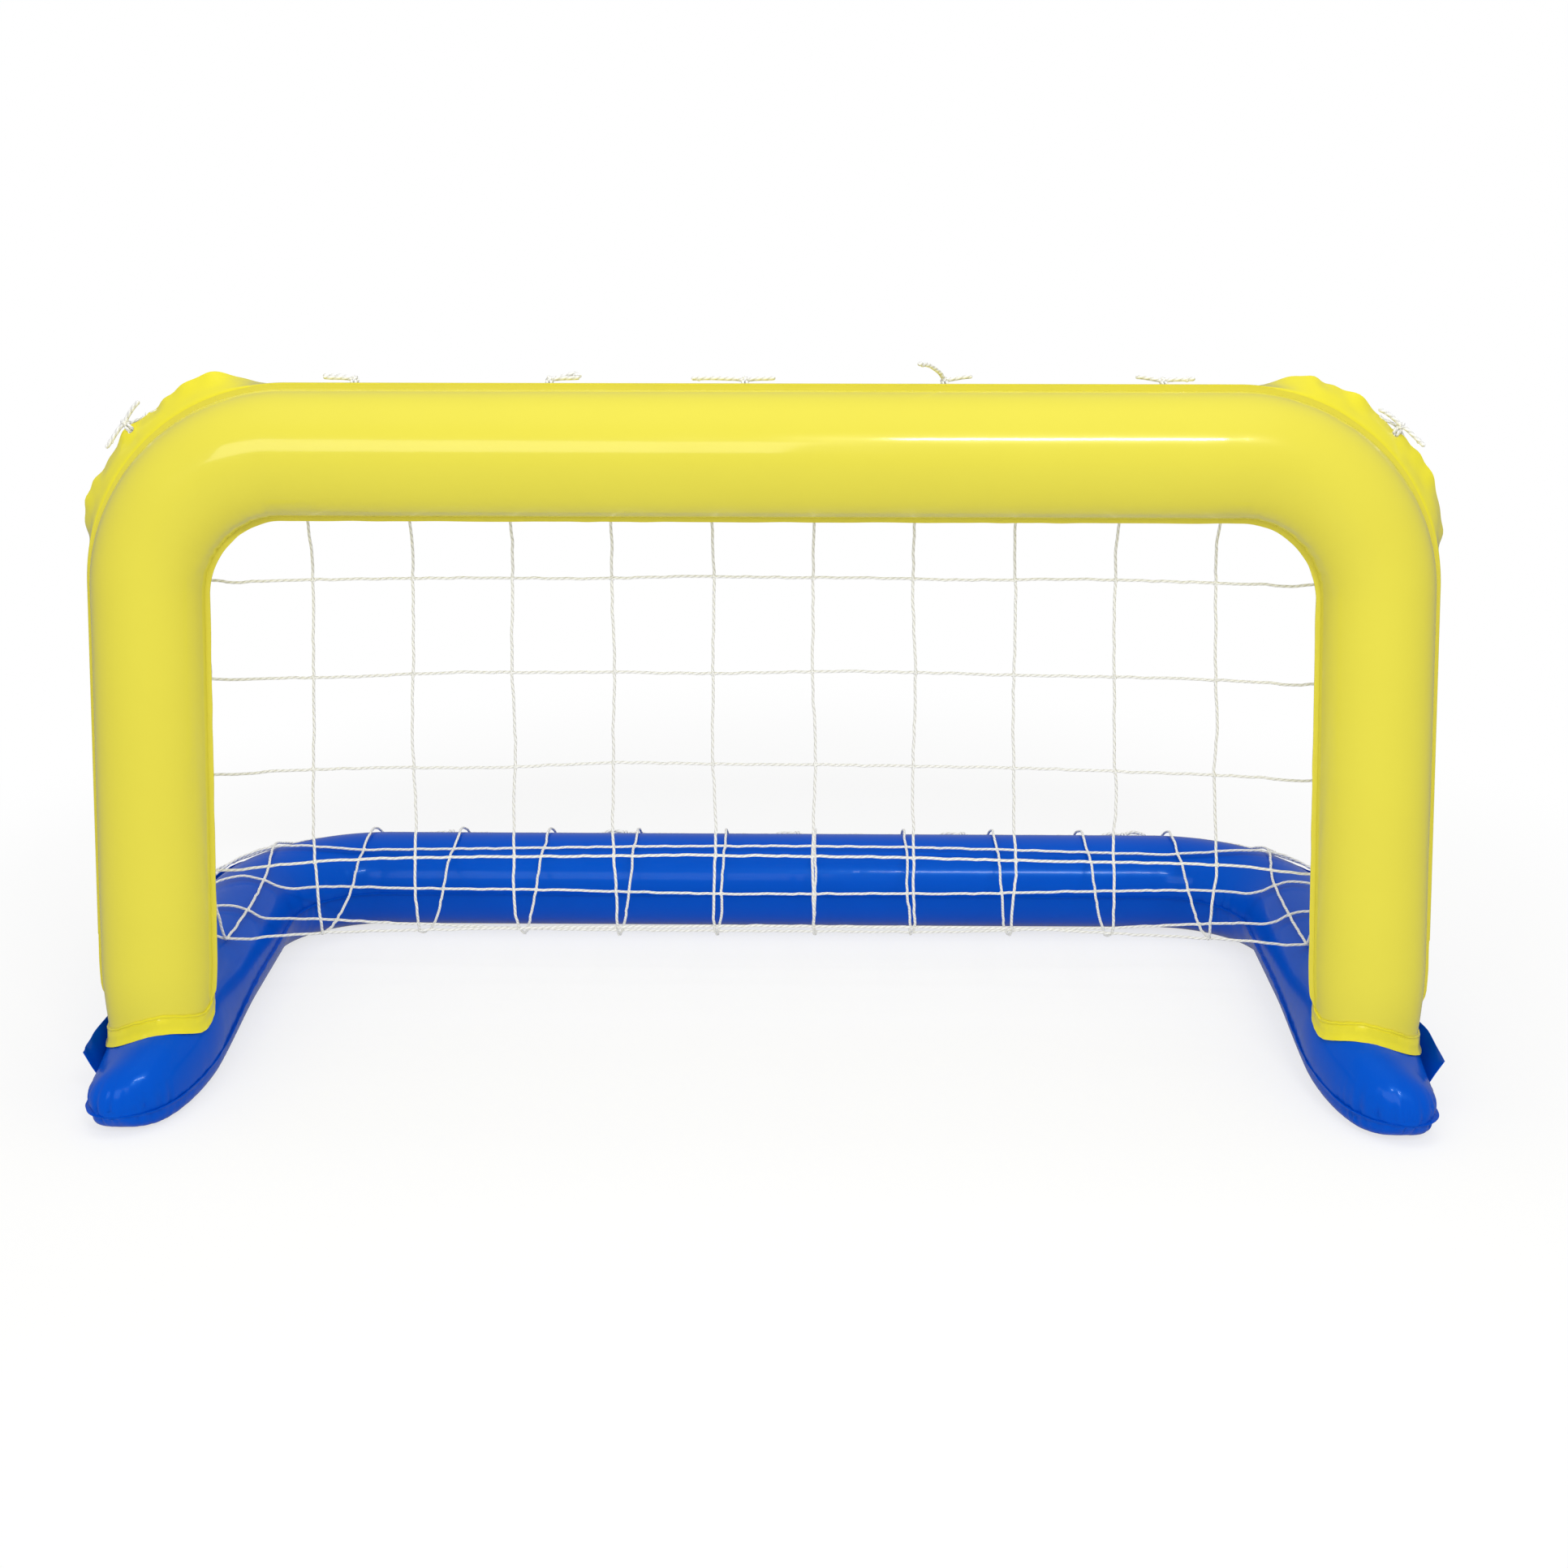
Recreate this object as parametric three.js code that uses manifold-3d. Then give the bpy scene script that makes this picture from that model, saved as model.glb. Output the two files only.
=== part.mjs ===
// Inflatable water polo goal: a U-shaped float carries an inverted-U goal frame,
// and a knotted square-mesh net is tied to a vinyl strip along each of the two.
import * as THREE from 'three';
import { mergeVertices } from 'three/addons/utils/BufferGeometryUtils.js';
import Module from 'manifold-3d';

const wasm = await Module();
wasm.setup();

// Driving dimensions of the goal frame, in millimetres
const goalHeight = 763;
const crossbarDiameter = 131;
const postDiameter = 119;
const postFootDiameter = 108;
const postFootTaper = 75;
const postFootHeight = 80;
const postFootAdvance = 68;
const postEndDepth = 2;
const postSpacingTop = 1284;
const postSpacingFoot = 1323;
const frameBendRadius = 150;

// Driving dimensions of the base
const baseTubeDiameter = 120;
const armSpacing = 1316;
const rearTubeDepth = 454;
const footReach = 188;
const footFrontHeight = 78;
const footFrontRounding = 62;
const footSlopeLength = 156;
const footTipRounding = 16;
const footSkew = 26;
const footSeamHeight = 24;
const seamDropLength = 330;
const baseBendRadius = 160;
const floorFlatDepth = 2;

// Vinyl sheet, its weld seams and the gap kept between touching pieces
const sheetThickness = 0.5;
const weldFlangeWidth = 5;
const touchGap = 0.3;

// Net strips and the holes that the ties pass through
const frameStripWidth = 38;
const baseStripWidth = 34;
const stripThickness = 0.8;
const stripRootLap = 3.6;
const stripBendRoom = 1.5;
const baseStripEndReach = 84;
const baseTabLength = 105;
const frameStripLean = THREE.MathUtils.degToRad(92);
const baseStripLean = THREE.MathUtils.degToRad(96);
const cornerStandingLean = THREE.MathUtils.degToRad(58);
const baseTabLean = THREE.MathUtils.degToRad(52);
const tieHoleDiameter = 8;
const tieHoleEdge = 7;

// Collars that weld the posts to the base
const collarWidth = 19;
const collarThickness = 0.8;
const collarFlare = 0.8;
const collarClearance = 0.4;

// Net and ties
const netCordDiameter = 3.2;
const netKnotWidth = 5.6;
const netEdgeOffset = 5;
const netRowPitch = 108.5;
const netHangClearance = 15;
const netFoldHeight = 86;
const tieCordDiameter = 2.8;
const tieLoopHeight = 12;
const tieKnotDiameter = 9;
const tieTailLength = 30;
const columnGaps = 13;
const rowGaps = 10;
const postRows = 5;

// Inflation valves
const valveFlangeDiameter = 34;
const valveFlangeThickness = 1.2;
const valveStemDiameter = 13;
const valveBoreDiameter = 9.2;
const valveStemHeight = 12;
const valveStemDepth = 12;
const valveStemTravel = 10;
const valveLipDiameter = 16.5;
const valveLipThickness = 1.6;
const stopperShankLength = 7;
const stopperCapThickness = 1.8;
const stopperTabLength = 9;
const flapThickness = 0.5;
const flapSwingRoom = 8;
const baseValveTilt = THREE.MathUtils.degToRad(-34);

// Facets: the sheet on the floor has an odd count, so that its lowest facet lies flat
const halfTubeSides = 8;
const floorTubeSides = 7;
const bendSteps = 6;
const ruffleSteps = 24;
const roundSides = 10;
const holeSides = 6;
const cordSides = 4;
const loopSteps = 6;
const strandSteps = 6;
const tubeSamples = 90;

const crossbarRadius = crossbarDiameter / 2;
const postRadius = postDiameter / 2;
const postFootRadius = postFootDiameter / 2;
const baseRadius = baseTubeDiameter / 2;
const baseAxisHeight = baseRadius - floorFlatDepth;
const baseTop = baseAxisHeight + baseRadius;
const postEndHeight = baseAxisHeight - postEndDepth;
const cordRadius = netCordDiameter / 2;
const tieRadius = tieCordDiameter / 2;

const vinylYellow = { color: 0xe6dc48, roughness: 0.32, metalness: 0 };
const stripYellow = { color: 0xf2e636, roughness: 0.38, metalness: 0 };
const vinylBlue = { color: 0x0052cc, roughness: 0.25, metalness: 0 };
const cordWhite = { color: 0xf0efe8, roughness: 0.85, metalness: 0 };
const valveClear = { color: 0xe9e9e4, roughness: 0.4, metalness: 0 };

const goal = new THREE.Group();

function addPiece(name, geometry, finish) {
  geometry.computeVertexNormals();
  const mesh = new THREE.Mesh(geometry, new THREE.MeshStandardMaterial(finish));
  mesh.name = name;
  goal.add(mesh);
  return mesh;
}

// Closed solids from rings of points, and cuts between them

function signedVolume(points, triangles) {
  let volume = 0;
  for (const [a, b, c] of triangles) {
    volume += points[a].dot(new THREE.Vector3().crossVectors(points[b], points[c]));
  }
  return volume;
}

function closedGeometry(points, triangles) {
  const outward = signedVolume(points, triangles) > 0;
  const geometry = new THREE.BufferGeometry();
  const positions = new Float32Array(points.flatMap((point) => point.toArray()));
  geometry.setAttribute('position', new THREE.BufferAttribute(positions, 3));
  geometry.setIndex(triangles.flatMap(([a, b, c]) => (outward ? [a, b, c] : [a, c, b])));
  return geometry;
}

// stations: { place(a, b) -> Vector3, outline: [[a, b], ...] }, one ring of points for each.
// The two faces of a ribbon are split along the same diagonals, so that they fold alike.
function loft(stations, endless = false, ribbon = false) {
  const count = stations[0].outline.length;
  const points = stations.flatMap(({ place, outline }) => outline.map(([a, b]) => place(a, b)));
  const triangles = [];
  const spans = endless ? stations.length : stations.length - 1;
  for (let ring = 0; ring < spans; ring += 1) {
    const here = ring * count;
    const next = ((ring + 1) % stations.length) * count;
    for (let side = 0; side < count; side += 1) {
      const turn = (side + 1) % count;
      const [a, b, c, d] = [here + side, here + turn, next + turn, next + side];
      if (ribbon && side >= count / 2) triangles.push([a, b, d], [b, c, d]);
      else triangles.push([a, b, c], [a, c, d]);
    }
  }
  if (!endless) {
    const capOf = ({ outline }) =>
      THREE.ShapeUtils.triangulateShape(outline.map(([a, b]) => new THREE.Vector2(a, b)), []);
    const ccw = (outline) =>
      THREE.ShapeUtils.area(outline.map(([a, b]) => new THREE.Vector2(a, b))) > 0;
    const first = stations[0];
    const last = stations[stations.length - 1];
    const lastStart = (stations.length - 1) * count;
    for (const [a, b, c] of capOf(first)) {
      triangles.push(ccw(first.outline) ? [a, c, b] : [a, b, c]);
    }
    for (const face of capOf(last)) {
      const [a, b, c] = face.map((corner) => corner + lastStart);
      triangles.push(ccw(last.outline) ? [a, b, c] : [a, c, b]);
    }
  }
  return closedGeometry(points, triangles);
}

function toManifold(geometry) {
  const bare = geometry.clone();
  bare.deleteAttribute('normal');
  bare.deleteAttribute('uv');
  const welded = mergeVertices(bare);
  return new wasm.Manifold(new wasm.Mesh({
    numProp: 3,
    vertProperties: new Float32Array(welded.getAttribute('position').array),
    triVerts: new Uint32Array(welded.index.array),
  }));
}

function toGeometry(solid) {
  const { vertProperties, triVerts } = solid.getMesh();
  const geometry = new THREE.BufferGeometry();
  geometry.setAttribute('position', new THREE.BufferAttribute(new Float32Array(vertProperties), 3));
  geometry.setIndex([...triVerts]);
  return geometry;
}

function cut(geometry, ...tools) {
  return toGeometry(tools.reduce((solid, tool) => solid.subtract(toManifold(tool)), toManifold(geometry)));
}

function join(...geometries) {
  const [first, ...rest] = geometries.map(toManifold);
  return toGeometry(rest.reduce((solid, other) => solid.add(other), first));
}

// A revolved piece whose axis runs from `from` along `direction`
function revolved(profile, from, direction, sides = roundSides) {
  const lathe = new THREE.LatheGeometry(profile.map(([r, h]) => new THREE.Vector2(r, h)), sides);
  lathe.deleteAttribute('normal');
  lathe.deleteAttribute('uv');
  const turn = new THREE.Quaternion().setFromUnitVectors(new THREE.Vector3(0, 1, 0), direction);
  const geometry = mergeVertices(lathe);
  geometry.applyQuaternion(turn).translate(from.x, from.y, from.z);
  const points = [];
  const position = geometry.getAttribute('position');
  for (let i = 0; i < position.count; i += 1) {
    points.push(new THREE.Vector3().fromBufferAttribute(position, i));
  }
  const triangles = [];
  for (let i = 0; i < geometry.index.count; i += 3) {
    const face = [0, 1, 2].map((corner) => geometry.index.getX(i + corner));
    if (new Set(face).size === 3) triangles.push(face);
  }
  return closedGeometry(points, triangles);
}

// A U-shaped middle line in its own plane: a crown, two bends and two legs.
// A place on it is found by the distance from the crown's middle, measured along
// the line that runs `offset` outside the middle line.

function uPath({ halfSpan, crown, bendRadius, splay }) {
  const turn = Math.PI / 2 - splay;
  const straight = halfSpan - bendRadius * Math.tan(turn / 2);
  const bendLength = (offset) => (bendRadius + offset) * turn;
  return { straight, crown, bendRadius, turn, bendLength };
}

function placeOn(path, distance, offset = 0) {
  const side = distance < 0 ? -1 : 1;
  const run = Math.abs(distance);
  const { straight, crown, bendRadius, turn } = path;
  const bend = path.bendLength(offset);
  const angle = THREE.MathUtils.clamp((run - straight) / (bendRadius + offset), 0, turn);
  const leg = Math.max(run - straight - bend, 0);
  const flat = Math.min(run, straight);
  const p = flat + bendRadius * Math.sin(angle) + leg * Math.cos(angle);
  const q = crown - bendRadius * (1 - Math.cos(angle)) - leg * Math.sin(angle);
  return {
    middle: [side * p, q],
    outward: [side * Math.sin(angle), Math.cos(angle)],
    angle,
    leg,
    bendShare: angle / turn,
  };
}

const frameRise = goalHeight - crossbarRadius - baseAxisHeight;
const frameSplay = Math.atan2((postSpacingFoot - postSpacingTop) / 2, frameRise);
const frameLean = Math.asin(postFootAdvance / frameRise);
const framePath = uPath({
  halfSpan: postSpacingTop / 2,
  crown: goalHeight - crossbarRadius,
  bendRadius: frameBendRadius,
  splay: frameSplay,
});
const basePath = uPath({
  halfSpan: armSpacing / 2,
  crown: rearTubeDepth,
  bendRadius: baseBendRadius,
  splay: 0,
});

// Points across a section: a is outward in the plane of the U, b is square to that plane.
// The frame leans back, so the feet of the posts stand in front of the crossbar.
const legDown = new THREE.Vector3(0, -Math.sin(frameLean), -Math.cos(frameLean));
const frameRear = new THREE.Vector3(0, Math.cos(frameLean), -Math.sin(frameLean));

function framePlace(distance, offset = 0) {
  const at = placeOn(framePath, distance, offset);
  const place = (a, b) => {
    const drop = framePath.crown - at.middle[1] - a * at.outward[1];
    return new THREE.Vector3(at.middle[0] + a * at.outward[0], 0, framePath.crown)
      .addScaledVector(legDown, drop)
      .addScaledVector(frameRear, b);
  };
  return { ...at, place };
}

function basePlace(distance, offset = 0) {
  const at = placeOn(basePath, distance, offset);
  const place = (a, b) =>
    new THREE.Vector3(at.middle[0] + a * at.outward[0], at.middle[1] + a * at.outward[1], baseAxisHeight + b);
  return { ...at, place };
}

const frameLegRise = framePath.crown - frameBendRadius * (1 - Math.cos(framePath.turn)) - postEndHeight;
const frameLegLength = frameLegRise / Math.sin(framePath.turn);
const frameHalfLength = framePath.straight + framePath.bendLength(0) + frameLegLength;

// The place on a post at a height in the frame's own plane
function postDistance(height) {
  return frameHalfLength - (height - postEndHeight) / Math.sin(framePath.turn);
}

const baseLegLength = rearTubeDepth - baseBendRadius + footReach;
const baseHalfLength = basePath.straight + basePath.bendLength(0) + baseLegLength;

function symmetricStations(distances) {
  const right = distances.filter((distance) => distance > 0).sort((a, b) => a - b);
  const left = right.map((distance) => -distance).reverse();
  return [...left, 0, ...right];
}

function bendDistances(path, offset = 0, steps = bendSteps) {
  const length = path.bendLength(offset);
  return Array.from({ length: steps + 1 }, (_, step) => path.straight + (length * step) / steps);
}

// Goal frame: front and rear sheets, welded along the inner and the outer edge

const postRoundShares = [0, 0.14, 0.3, 0.48, 0.7, 1];
const flangeFadeShares = [0.5, 1];
const flangeEndHeight = postFootHeight + collarWidth;

function postRadiusAt(height) {
  const share = THREE.MathUtils.clamp((height - postFootHeight) / postFootTaper, 0, 1);
  return postFootRadius + (postRadius - postFootRadius) * Math.sin((share * Math.PI) / 2);
}

function frameSizeAt(distance) {
  const at = placeOn(framePath, distance);
  const height = at.middle[1];
  const radiusInBend = THREE.MathUtils.lerp(crossbarRadius, postRadius, at.bendShare);
  const radius = at.leg > 0 ? postRadiusAt(height) : radiusInBend;
  const fade = THREE.MathUtils.smoothstep(height, flangeEndHeight, flangeEndHeight + collarWidth);
  const flange = THREE.MathUtils.lerp(sheetThickness / 5, weldFlangeWidth, fade);
  return { radius, flange };
}

const postFootDistances = postRoundShares.map((share) => postDistance(postFootHeight + share * postFootTaper));
const flangeFadeDistances = flangeFadeShares.map((share) => postDistance(flangeEndHeight + share * collarWidth));
const frameDistances = symmetricStations([
  ...bendDistances(framePath),
  ...postFootDistances,
  ...flangeFadeDistances,
  frameHalfLength - touchGap,
]);

const weldStartShare = 1.5;

// Half of a round section with a weld flange along each edge, on one side of the seam
function halfTubeOutline(radius, flange, side) {
  const inner = (side * touchGap) / 2;
  const outer = inner + side * sheetThickness;
  const start = Math.asin(sheetThickness / radius) * weldStartShare;
  const outline = [[radius + flange, inner], [radius + flange, outer]];
  for (let step = 0; step <= halfTubeSides; step += 1) {
    const angle = THREE.MathUtils.lerp(start, Math.PI - start, step / halfTubeSides);
    outline.push([radius * Math.cos(angle), side * radius * Math.sin(angle)]);
  }
  outline.push([-radius - flange, outer], [-radius - flange, inner]);
  return outline;
}

function frameHalf(side, grow = 0) {
  return loft(frameDistances.map((distance) => {
    const { radius, flange } = frameSizeAt(distance);
    return { place: framePlace(distance).place, outline: halfTubeOutline(radius + grow, flange, side) };
  }));
}

// Base: top and bottom sheets. The seam runs at mid height behind the posts and
// drops towards the tip of each foot, which closes like the end of a pillow. The
// foot's back slopes down to a round front, its underside is full and flat, and its
// tip is turned outward.

const footShares = [0, 0.03, 0.09, 0.18, 0.32, 0.75, 1];
const seamShares = [0.6, 1];
const tipShares = { width: 0.12, sheet: 0.1, blunt: 0.75, slopeStart: 0.2 };
const tipPowers = { front: 2, crest: 0.5, keel: 0.8, skew: 2, underside: 0.6 };
const seamEdgeShare = 0.9;
const floorStart = 0.01;

function baseSizeAt(distance, grow = 0) {
  const toTip = baseHalfLength - Math.abs(distance);
  const drop = 1 - THREE.MathUtils.smoothstep(toTip, 0, seamDropLength);
  const seam = THREE.MathUtils.lerp(0, footSeamHeight - baseAxisHeight, drop);
  const share = THREE.MathUtils.clamp(toTip / footSlopeLength, 0, 1);
  const front = THREE.MathUtils.clamp(toTip / footFrontRounding, 0, 1);
  const slope = THREE.MathUtils.smoothstep(share, tipShares.slopeStart, 1);
  const top = THREE.MathUtils.lerp(footFrontHeight - baseAxisHeight, baseRadius, slope);
  const tip = 1 - Math.exp(-Math.max(toTip, 0) / footTipRounding);
  const plan = THREE.MathUtils.lerp(THREE.MathUtils.smoothstep(share, 0, 1), tip, tipShares.blunt);
  const width = baseRadius * THREE.MathUtils.lerp(tipShares.width, 1, plan);
  const tipSheet = baseRadius * tipShares.sheet;
  const rise = (1 - (1 - front) ** tipPowers.front) ** tipPowers.crest;
  const crest = THREE.MathUtils.lerp(seam + tipSheet, top, rise);
  const keel = THREE.MathUtils.lerp(seam - tipSheet, -baseRadius, tip ** tipPowers.keel);
  const skew = footSkew * (1 - share) ** tipPowers.skew;
  const fullness = THREE.MathUtils.lerp(1, tipPowers.underside, drop);
  return { width: width + grow, crest: crest + grow, keel: keel - grow, seam, skew, fullness };
}

function baseOutline(size, flange, side) {
  const middle = (size.crest + size.keel) / 2;
  const half = (size.crest - size.keel) / 2;
  const inner = size.seam + (side * touchGap) / 2;
  const outer = inner + side * sheetThickness;
  const rise = THREE.MathUtils.clamp((outer - middle) / half, -seamEdgeShare, seamEdgeShare);
  const start = Math.asin(rise) * side + touchGap / size.width / 4;
  const edge = size.width * Math.cos(start);
  const outline = [[edge + flange, inner], [edge + flange, outer]];
  const topPoint = (share) => {
    const angle = THREE.MathUtils.lerp(start, Math.PI - start, share);
    return [size.width * Math.cos(angle), middle + half * Math.sin(angle)];
  };
  const floorPoint = (share) => {
    const angle = THREE.MathUtils.lerp(floorStart, Math.PI - floorStart, share);
    const across = Math.sign(Math.cos(angle)) * Math.abs(Math.cos(angle)) ** size.fullness;
    const height = outer + (size.keel - outer) * Math.sin(angle) ** size.fullness;
    return [edge * across, Math.max(height, -baseAxisHeight)];
  };
  const [sides, point] = side > 0 ? [halfTubeSides, topPoint] : [floorTubeSides, floorPoint];
  for (let step = 0; step <= sides; step += 1) outline.push(point(step / sides));
  outline.push([-edge - flange, outer], [-edge - flange, inner]);
  return outline.map(([a, b]) => [a + size.skew, b]);
}

const baseDistances = symmetricStations([
  ...bendDistances(basePath),
  ...footShares.map((share) => baseHalfLength - share * footSlopeLength),
  ...seamShares.map((share) => baseHalfLength - share * seamDropLength),
  baseHalfLength - baseStripEndReach,
]);

function baseHalf(side, grow = 0) {
  return loft(baseDistances.map((distance) => ({
    place: basePlace(distance).place,
    outline: baseOutline(baseSizeAt(distance, grow), weldFlangeWidth, side),
  })));
}

const baseEnvelope = baseHalf(1, touchGap);

// Net strips: a flat ribbon whose root is welded behind the flange. It leans back
// along the straight stretches and stands up in ruffles round the frame's corners.

function ribbonOutline(line, thickness) {
  const normals = line.map((_, i) => {
    const before = line[Math.max(i - 1, 0)];
    const after = line[Math.min(i + 1, line.length - 1)];
    return new THREE.Vector2(before[1] - after[1], after[0] - before[0]).normalize();
  });
  const offset = (reach) => line.map(([a, b], i) => [a + normals[i].x * reach, b + normals[i].y * reach]);
  return [...offset(thickness / 2), ...offset(-thickness / 2).reverse()];
}

function stripLine(edge, level, lean, width, curl = 0) {
  const root = [edge + weldFlangeWidth - stripRootLap, level];
  const bend = [edge + weldFlangeWidth + stripBendRoom, level];
  const onward = ([a, b], angle) => [a + (width / 2) * Math.cos(angle), b + (width / 2) * Math.sin(angle)];
  const middle = onward(bend, lean - curl);
  return [root, bend, middle, onward(middle, lean + curl)];
}

const frameStripLevel = touchGap / 2 + sheetThickness + touchGap + stripThickness / 2;
const frameStripOffset = postRadius + weldFlangeWidth;
const ruffleWaves = 6;
const ruffleWaveLean = THREE.MathUtils.degToRad(11);
const ruffleCurl = THREE.MathUtils.degToRad(9);
const standShares = { rise: 0.05, risen: 0.24, falling: 0.7, fallen: 1 };

// The strip's lean at a place on the frame, with or without its small waves
function frameStripAt(distance, waves = 1) {
  const at = framePlace(distance, frameStripOffset);
  const radius = THREE.MathUtils.lerp(crossbarRadius, postRadius, at.bendShare);
  const { rise, risen, falling, fallen } = standShares;
  const rising = THREE.MathUtils.smoothstep(at.bendShare, rise, risen);
  const stand = rising * (1 - THREE.MathUtils.smoothstep(at.bendShare, falling, fallen));
  const wave = waves * Math.sin(2 * Math.PI * ruffleWaves * at.bendShare) * stand;
  const lean = THREE.MathUtils.lerp(frameStripLean, cornerStandingLean, stand) + ruffleWaveLean * wave;
  const line = stripLine(radius, frameStripLevel, lean, frameStripWidth, ruffleCurl * wave);
  return { ...at, line };
}

const frameStripHalf =
  framePath.straight + framePath.bendLength(frameStripOffset) + frameLegLength
  - (baseTop + 3 * collarWidth - postEndHeight);

const baseStripOffset = baseRadius + weldFlangeWidth;
const baseStripHalf =
  basePath.straight + basePath.bendLength(baseStripOffset) + baseLegLength - baseStripEndReach;

function baseStripAt(distance) {
  const at = basePlace(distance, baseStripOffset);
  const toTip = baseStripHalf + baseStripEndReach - Math.abs(distance);
  const size = baseSizeAt(baseHalfLength - toTip);
  const middle = (size.crest + size.keel) / 2;
  const half = (size.crest - size.keel) / 2;
  const edge = size.skew + size.width * Math.cos(Math.asin((size.seam - middle) / half));
  const fromEnd = toTip - baseStripEndReach;
  const flat = THREE.MathUtils.smoothstep(fromEnd, baseTabLength / 3, baseTabLength);
  const lean = THREE.MathUtils.lerp(baseTabLean, baseStripLean, flat);
  const level = size.seam + touchGap / 2 + sheetThickness + touchGap + stripThickness / 2;
  const line = stripLine(edge, level, lean, baseStripWidth);
  return { ...at, line };
}

function stripPoint(station, reach) {
  const [, bend, middle, tip] = station.line;
  const half = Math.hypot(tip[0] - middle[0], tip[1] - middle[1]);
  const [from, to, share] = reach < half ? [bend, middle, reach / half] : [middle, tip, reach / half - 1];
  return station.place(
    THREE.MathUtils.lerp(from[0], to[0], share),
    THREE.MathUtils.lerp(from[1], to[1], share),
  );
}

// Net: an even grid between four edge lines. Its top and side edges run along the
// frame's strip, and its rear and lower side edges run along the base's strip.

const frameNetReach = frameStripWidth + netEdgeOffset;
const frameCornerShare = 0.44;
const baseCornerShare = 0.68;
const baseNetReach = baseStripWidth + netEdgeOffset;
const frameStripBend = framePath.bendLength(frameStripOffset);
const baseStripBend = basePath.bendLength(baseStripOffset);
const frameCornerDistance = framePath.straight + frameStripBend * frameCornerShare;
const baseCornerDistance = basePath.straight + baseStripBend * baseCornerShare;
const postNetEnd = frameCornerDistance + postRows * netRowPitch;
const armNetEnd = basePath.straight + baseStripBend + rearTubeDepth - baseBendRadius - postFootRadius;

function frameEdgePoint(distance) {
  return stripPoint(frameStripAt(distance, 0), frameNetReach);
}

function baseEdgePoint(distance) {
  return stripPoint(baseStripAt(distance), baseNetReach);
}

const topEdge = (u) => frameEdgePoint(u * frameCornerDistance);
const rearEdge = (u) => baseEdgePoint(u * baseCornerDistance);

function sideEdge(side, v) {
  if (v <= postRows) {
    return frameEdgePoint(side * THREE.MathUtils.lerp(frameCornerDistance, postNetEnd, v / postRows));
  }
  const armShare = Math.max(v - postRows - 1, 0) / (rowGaps - postRows - 1);
  const armPoint = baseEdgePoint(side * THREE.MathUtils.lerp(armNetEnd, baseCornerDistance, armShare));
  if (v >= postRows + 1) return armPoint;
  return frameEdgePoint(side * postNetEnd).lerp(armPoint, v - postRows);
}

// The net's middle column: straight down behind the crossbar, then a slack fold
// above the floor, then back up and over the rear tube
const hangDepth = crossbarRadius + netHangClearance;
const hangShares = { postMiddle: 0.44, foldStart: 0.2, foldStartDepth: 1.12 };
const foldShares = { front: 0.42, rear: 0.64, rearHeight: 1.02, tubeEdge: 1.1 };
const middleLine = new THREE.CatmullRomCurve3([
  topEdge(0),
  new THREE.Vector3(0, crossbarRadius + cordRadius + 3 * touchGap, framePath.crown),
  new THREE.Vector3(0, hangDepth, framePath.crown - 2 * crossbarRadius),
  new THREE.Vector3(0, hangDepth, goalHeight * hangShares.postMiddle),
  new THREE.Vector3(0, hangDepth * hangShares.foldStartDepth, goalHeight * hangShares.foldStart),
  new THREE.Vector3(0, rearTubeDepth * foldShares.front, netFoldHeight),
  new THREE.Vector3(0, rearTubeDepth * foldShares.rear, netFoldHeight * foldShares.rearHeight),
  new THREE.Vector3(0, rearTubeDepth - baseRadius * foldShares.tubeEdge, baseTop + cordRadius),
  rearEdge(0),
], false, 'centripetal');
middleLine.arcLengthDivisions = 800;

function coonsPoint(u, v) {
  const across = (u + 1) / 2;
  const down = v / rowGaps;
  const sides = sideEdge(-1, v).lerp(sideEdge(1, v), across);
  const ends = topEdge(u).lerp(rearEdge(u), down);
  const cornersTop = topEdge(-1).lerp(topEdge(1), across);
  const cornersRear = rearEdge(-1).lerp(rearEdge(1), across);
  return sides.add(ends).sub(cornersTop.lerp(cornersRear, down));
}

const sideFallPower = 1.8;
const sidePullPower = 5;
const edgeMargin = 0.001;

function pushClear(point, stationAt, radiusAt, halfLength) {
  let best = null;
  for (let sample = -tubeSamples; sample <= tubeSamples; sample += 1) {
    const distance = (halfLength * sample) / tubeSamples;
    const centre = stationAt(distance).place(0, 0);
    const away = point.clone().sub(centre);
    const excess = radiusAt(distance) - away.length();
    if (excess > 0 && (!best || excess > best.excess)) best = { excess, away };
  }
  return best ? point.clone().addScaledVector(best.away.normalize(), best.excess) : point;
}

const drapeClearance = 2 * netCordDiameter - 2 * touchGap;

function clearOfTubes(point) {
  const offFrame = pushClear(
    point, framePlace, (distance) => frameSizeAt(distance).radius + drapeClearance, frameHalfLength);
  return pushClear(offFrame, basePlace, () => baseRadius + drapeClearance, baseHalfLength);
}

function netPoint(u, v) {
  const middle = middleLine.getPointAt(THREE.MathUtils.clamp(v / rowGaps, 0, 1));
  const bulge = middle.sub(coonsPoint(0, v));
  const near = Math.abs(u);
  const fall = 1 - near ** sideFallPower;
  const pull = 1 - near ** sidePullPower;
  const point = coonsPoint(u, v).add(new THREE.Vector3(bulge.x * fall, bulge.y * pull, bulge.z * fall));
  const onEdge = near > 1 - edgeMargin || v < edgeMargin || v > rowGaps - edgeMargin;
  return onEdge ? point : clearOfTubes(point);
}

const columnAt = (column) => (2 * column) / columnGaps - 1;
const netKnots = Array.from({ length: rowGaps + 1 }, (_, row) =>
  Array.from({ length: columnGaps + 1 }, (_unused, column) => netPoint(columnAt(column), row)));

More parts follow.
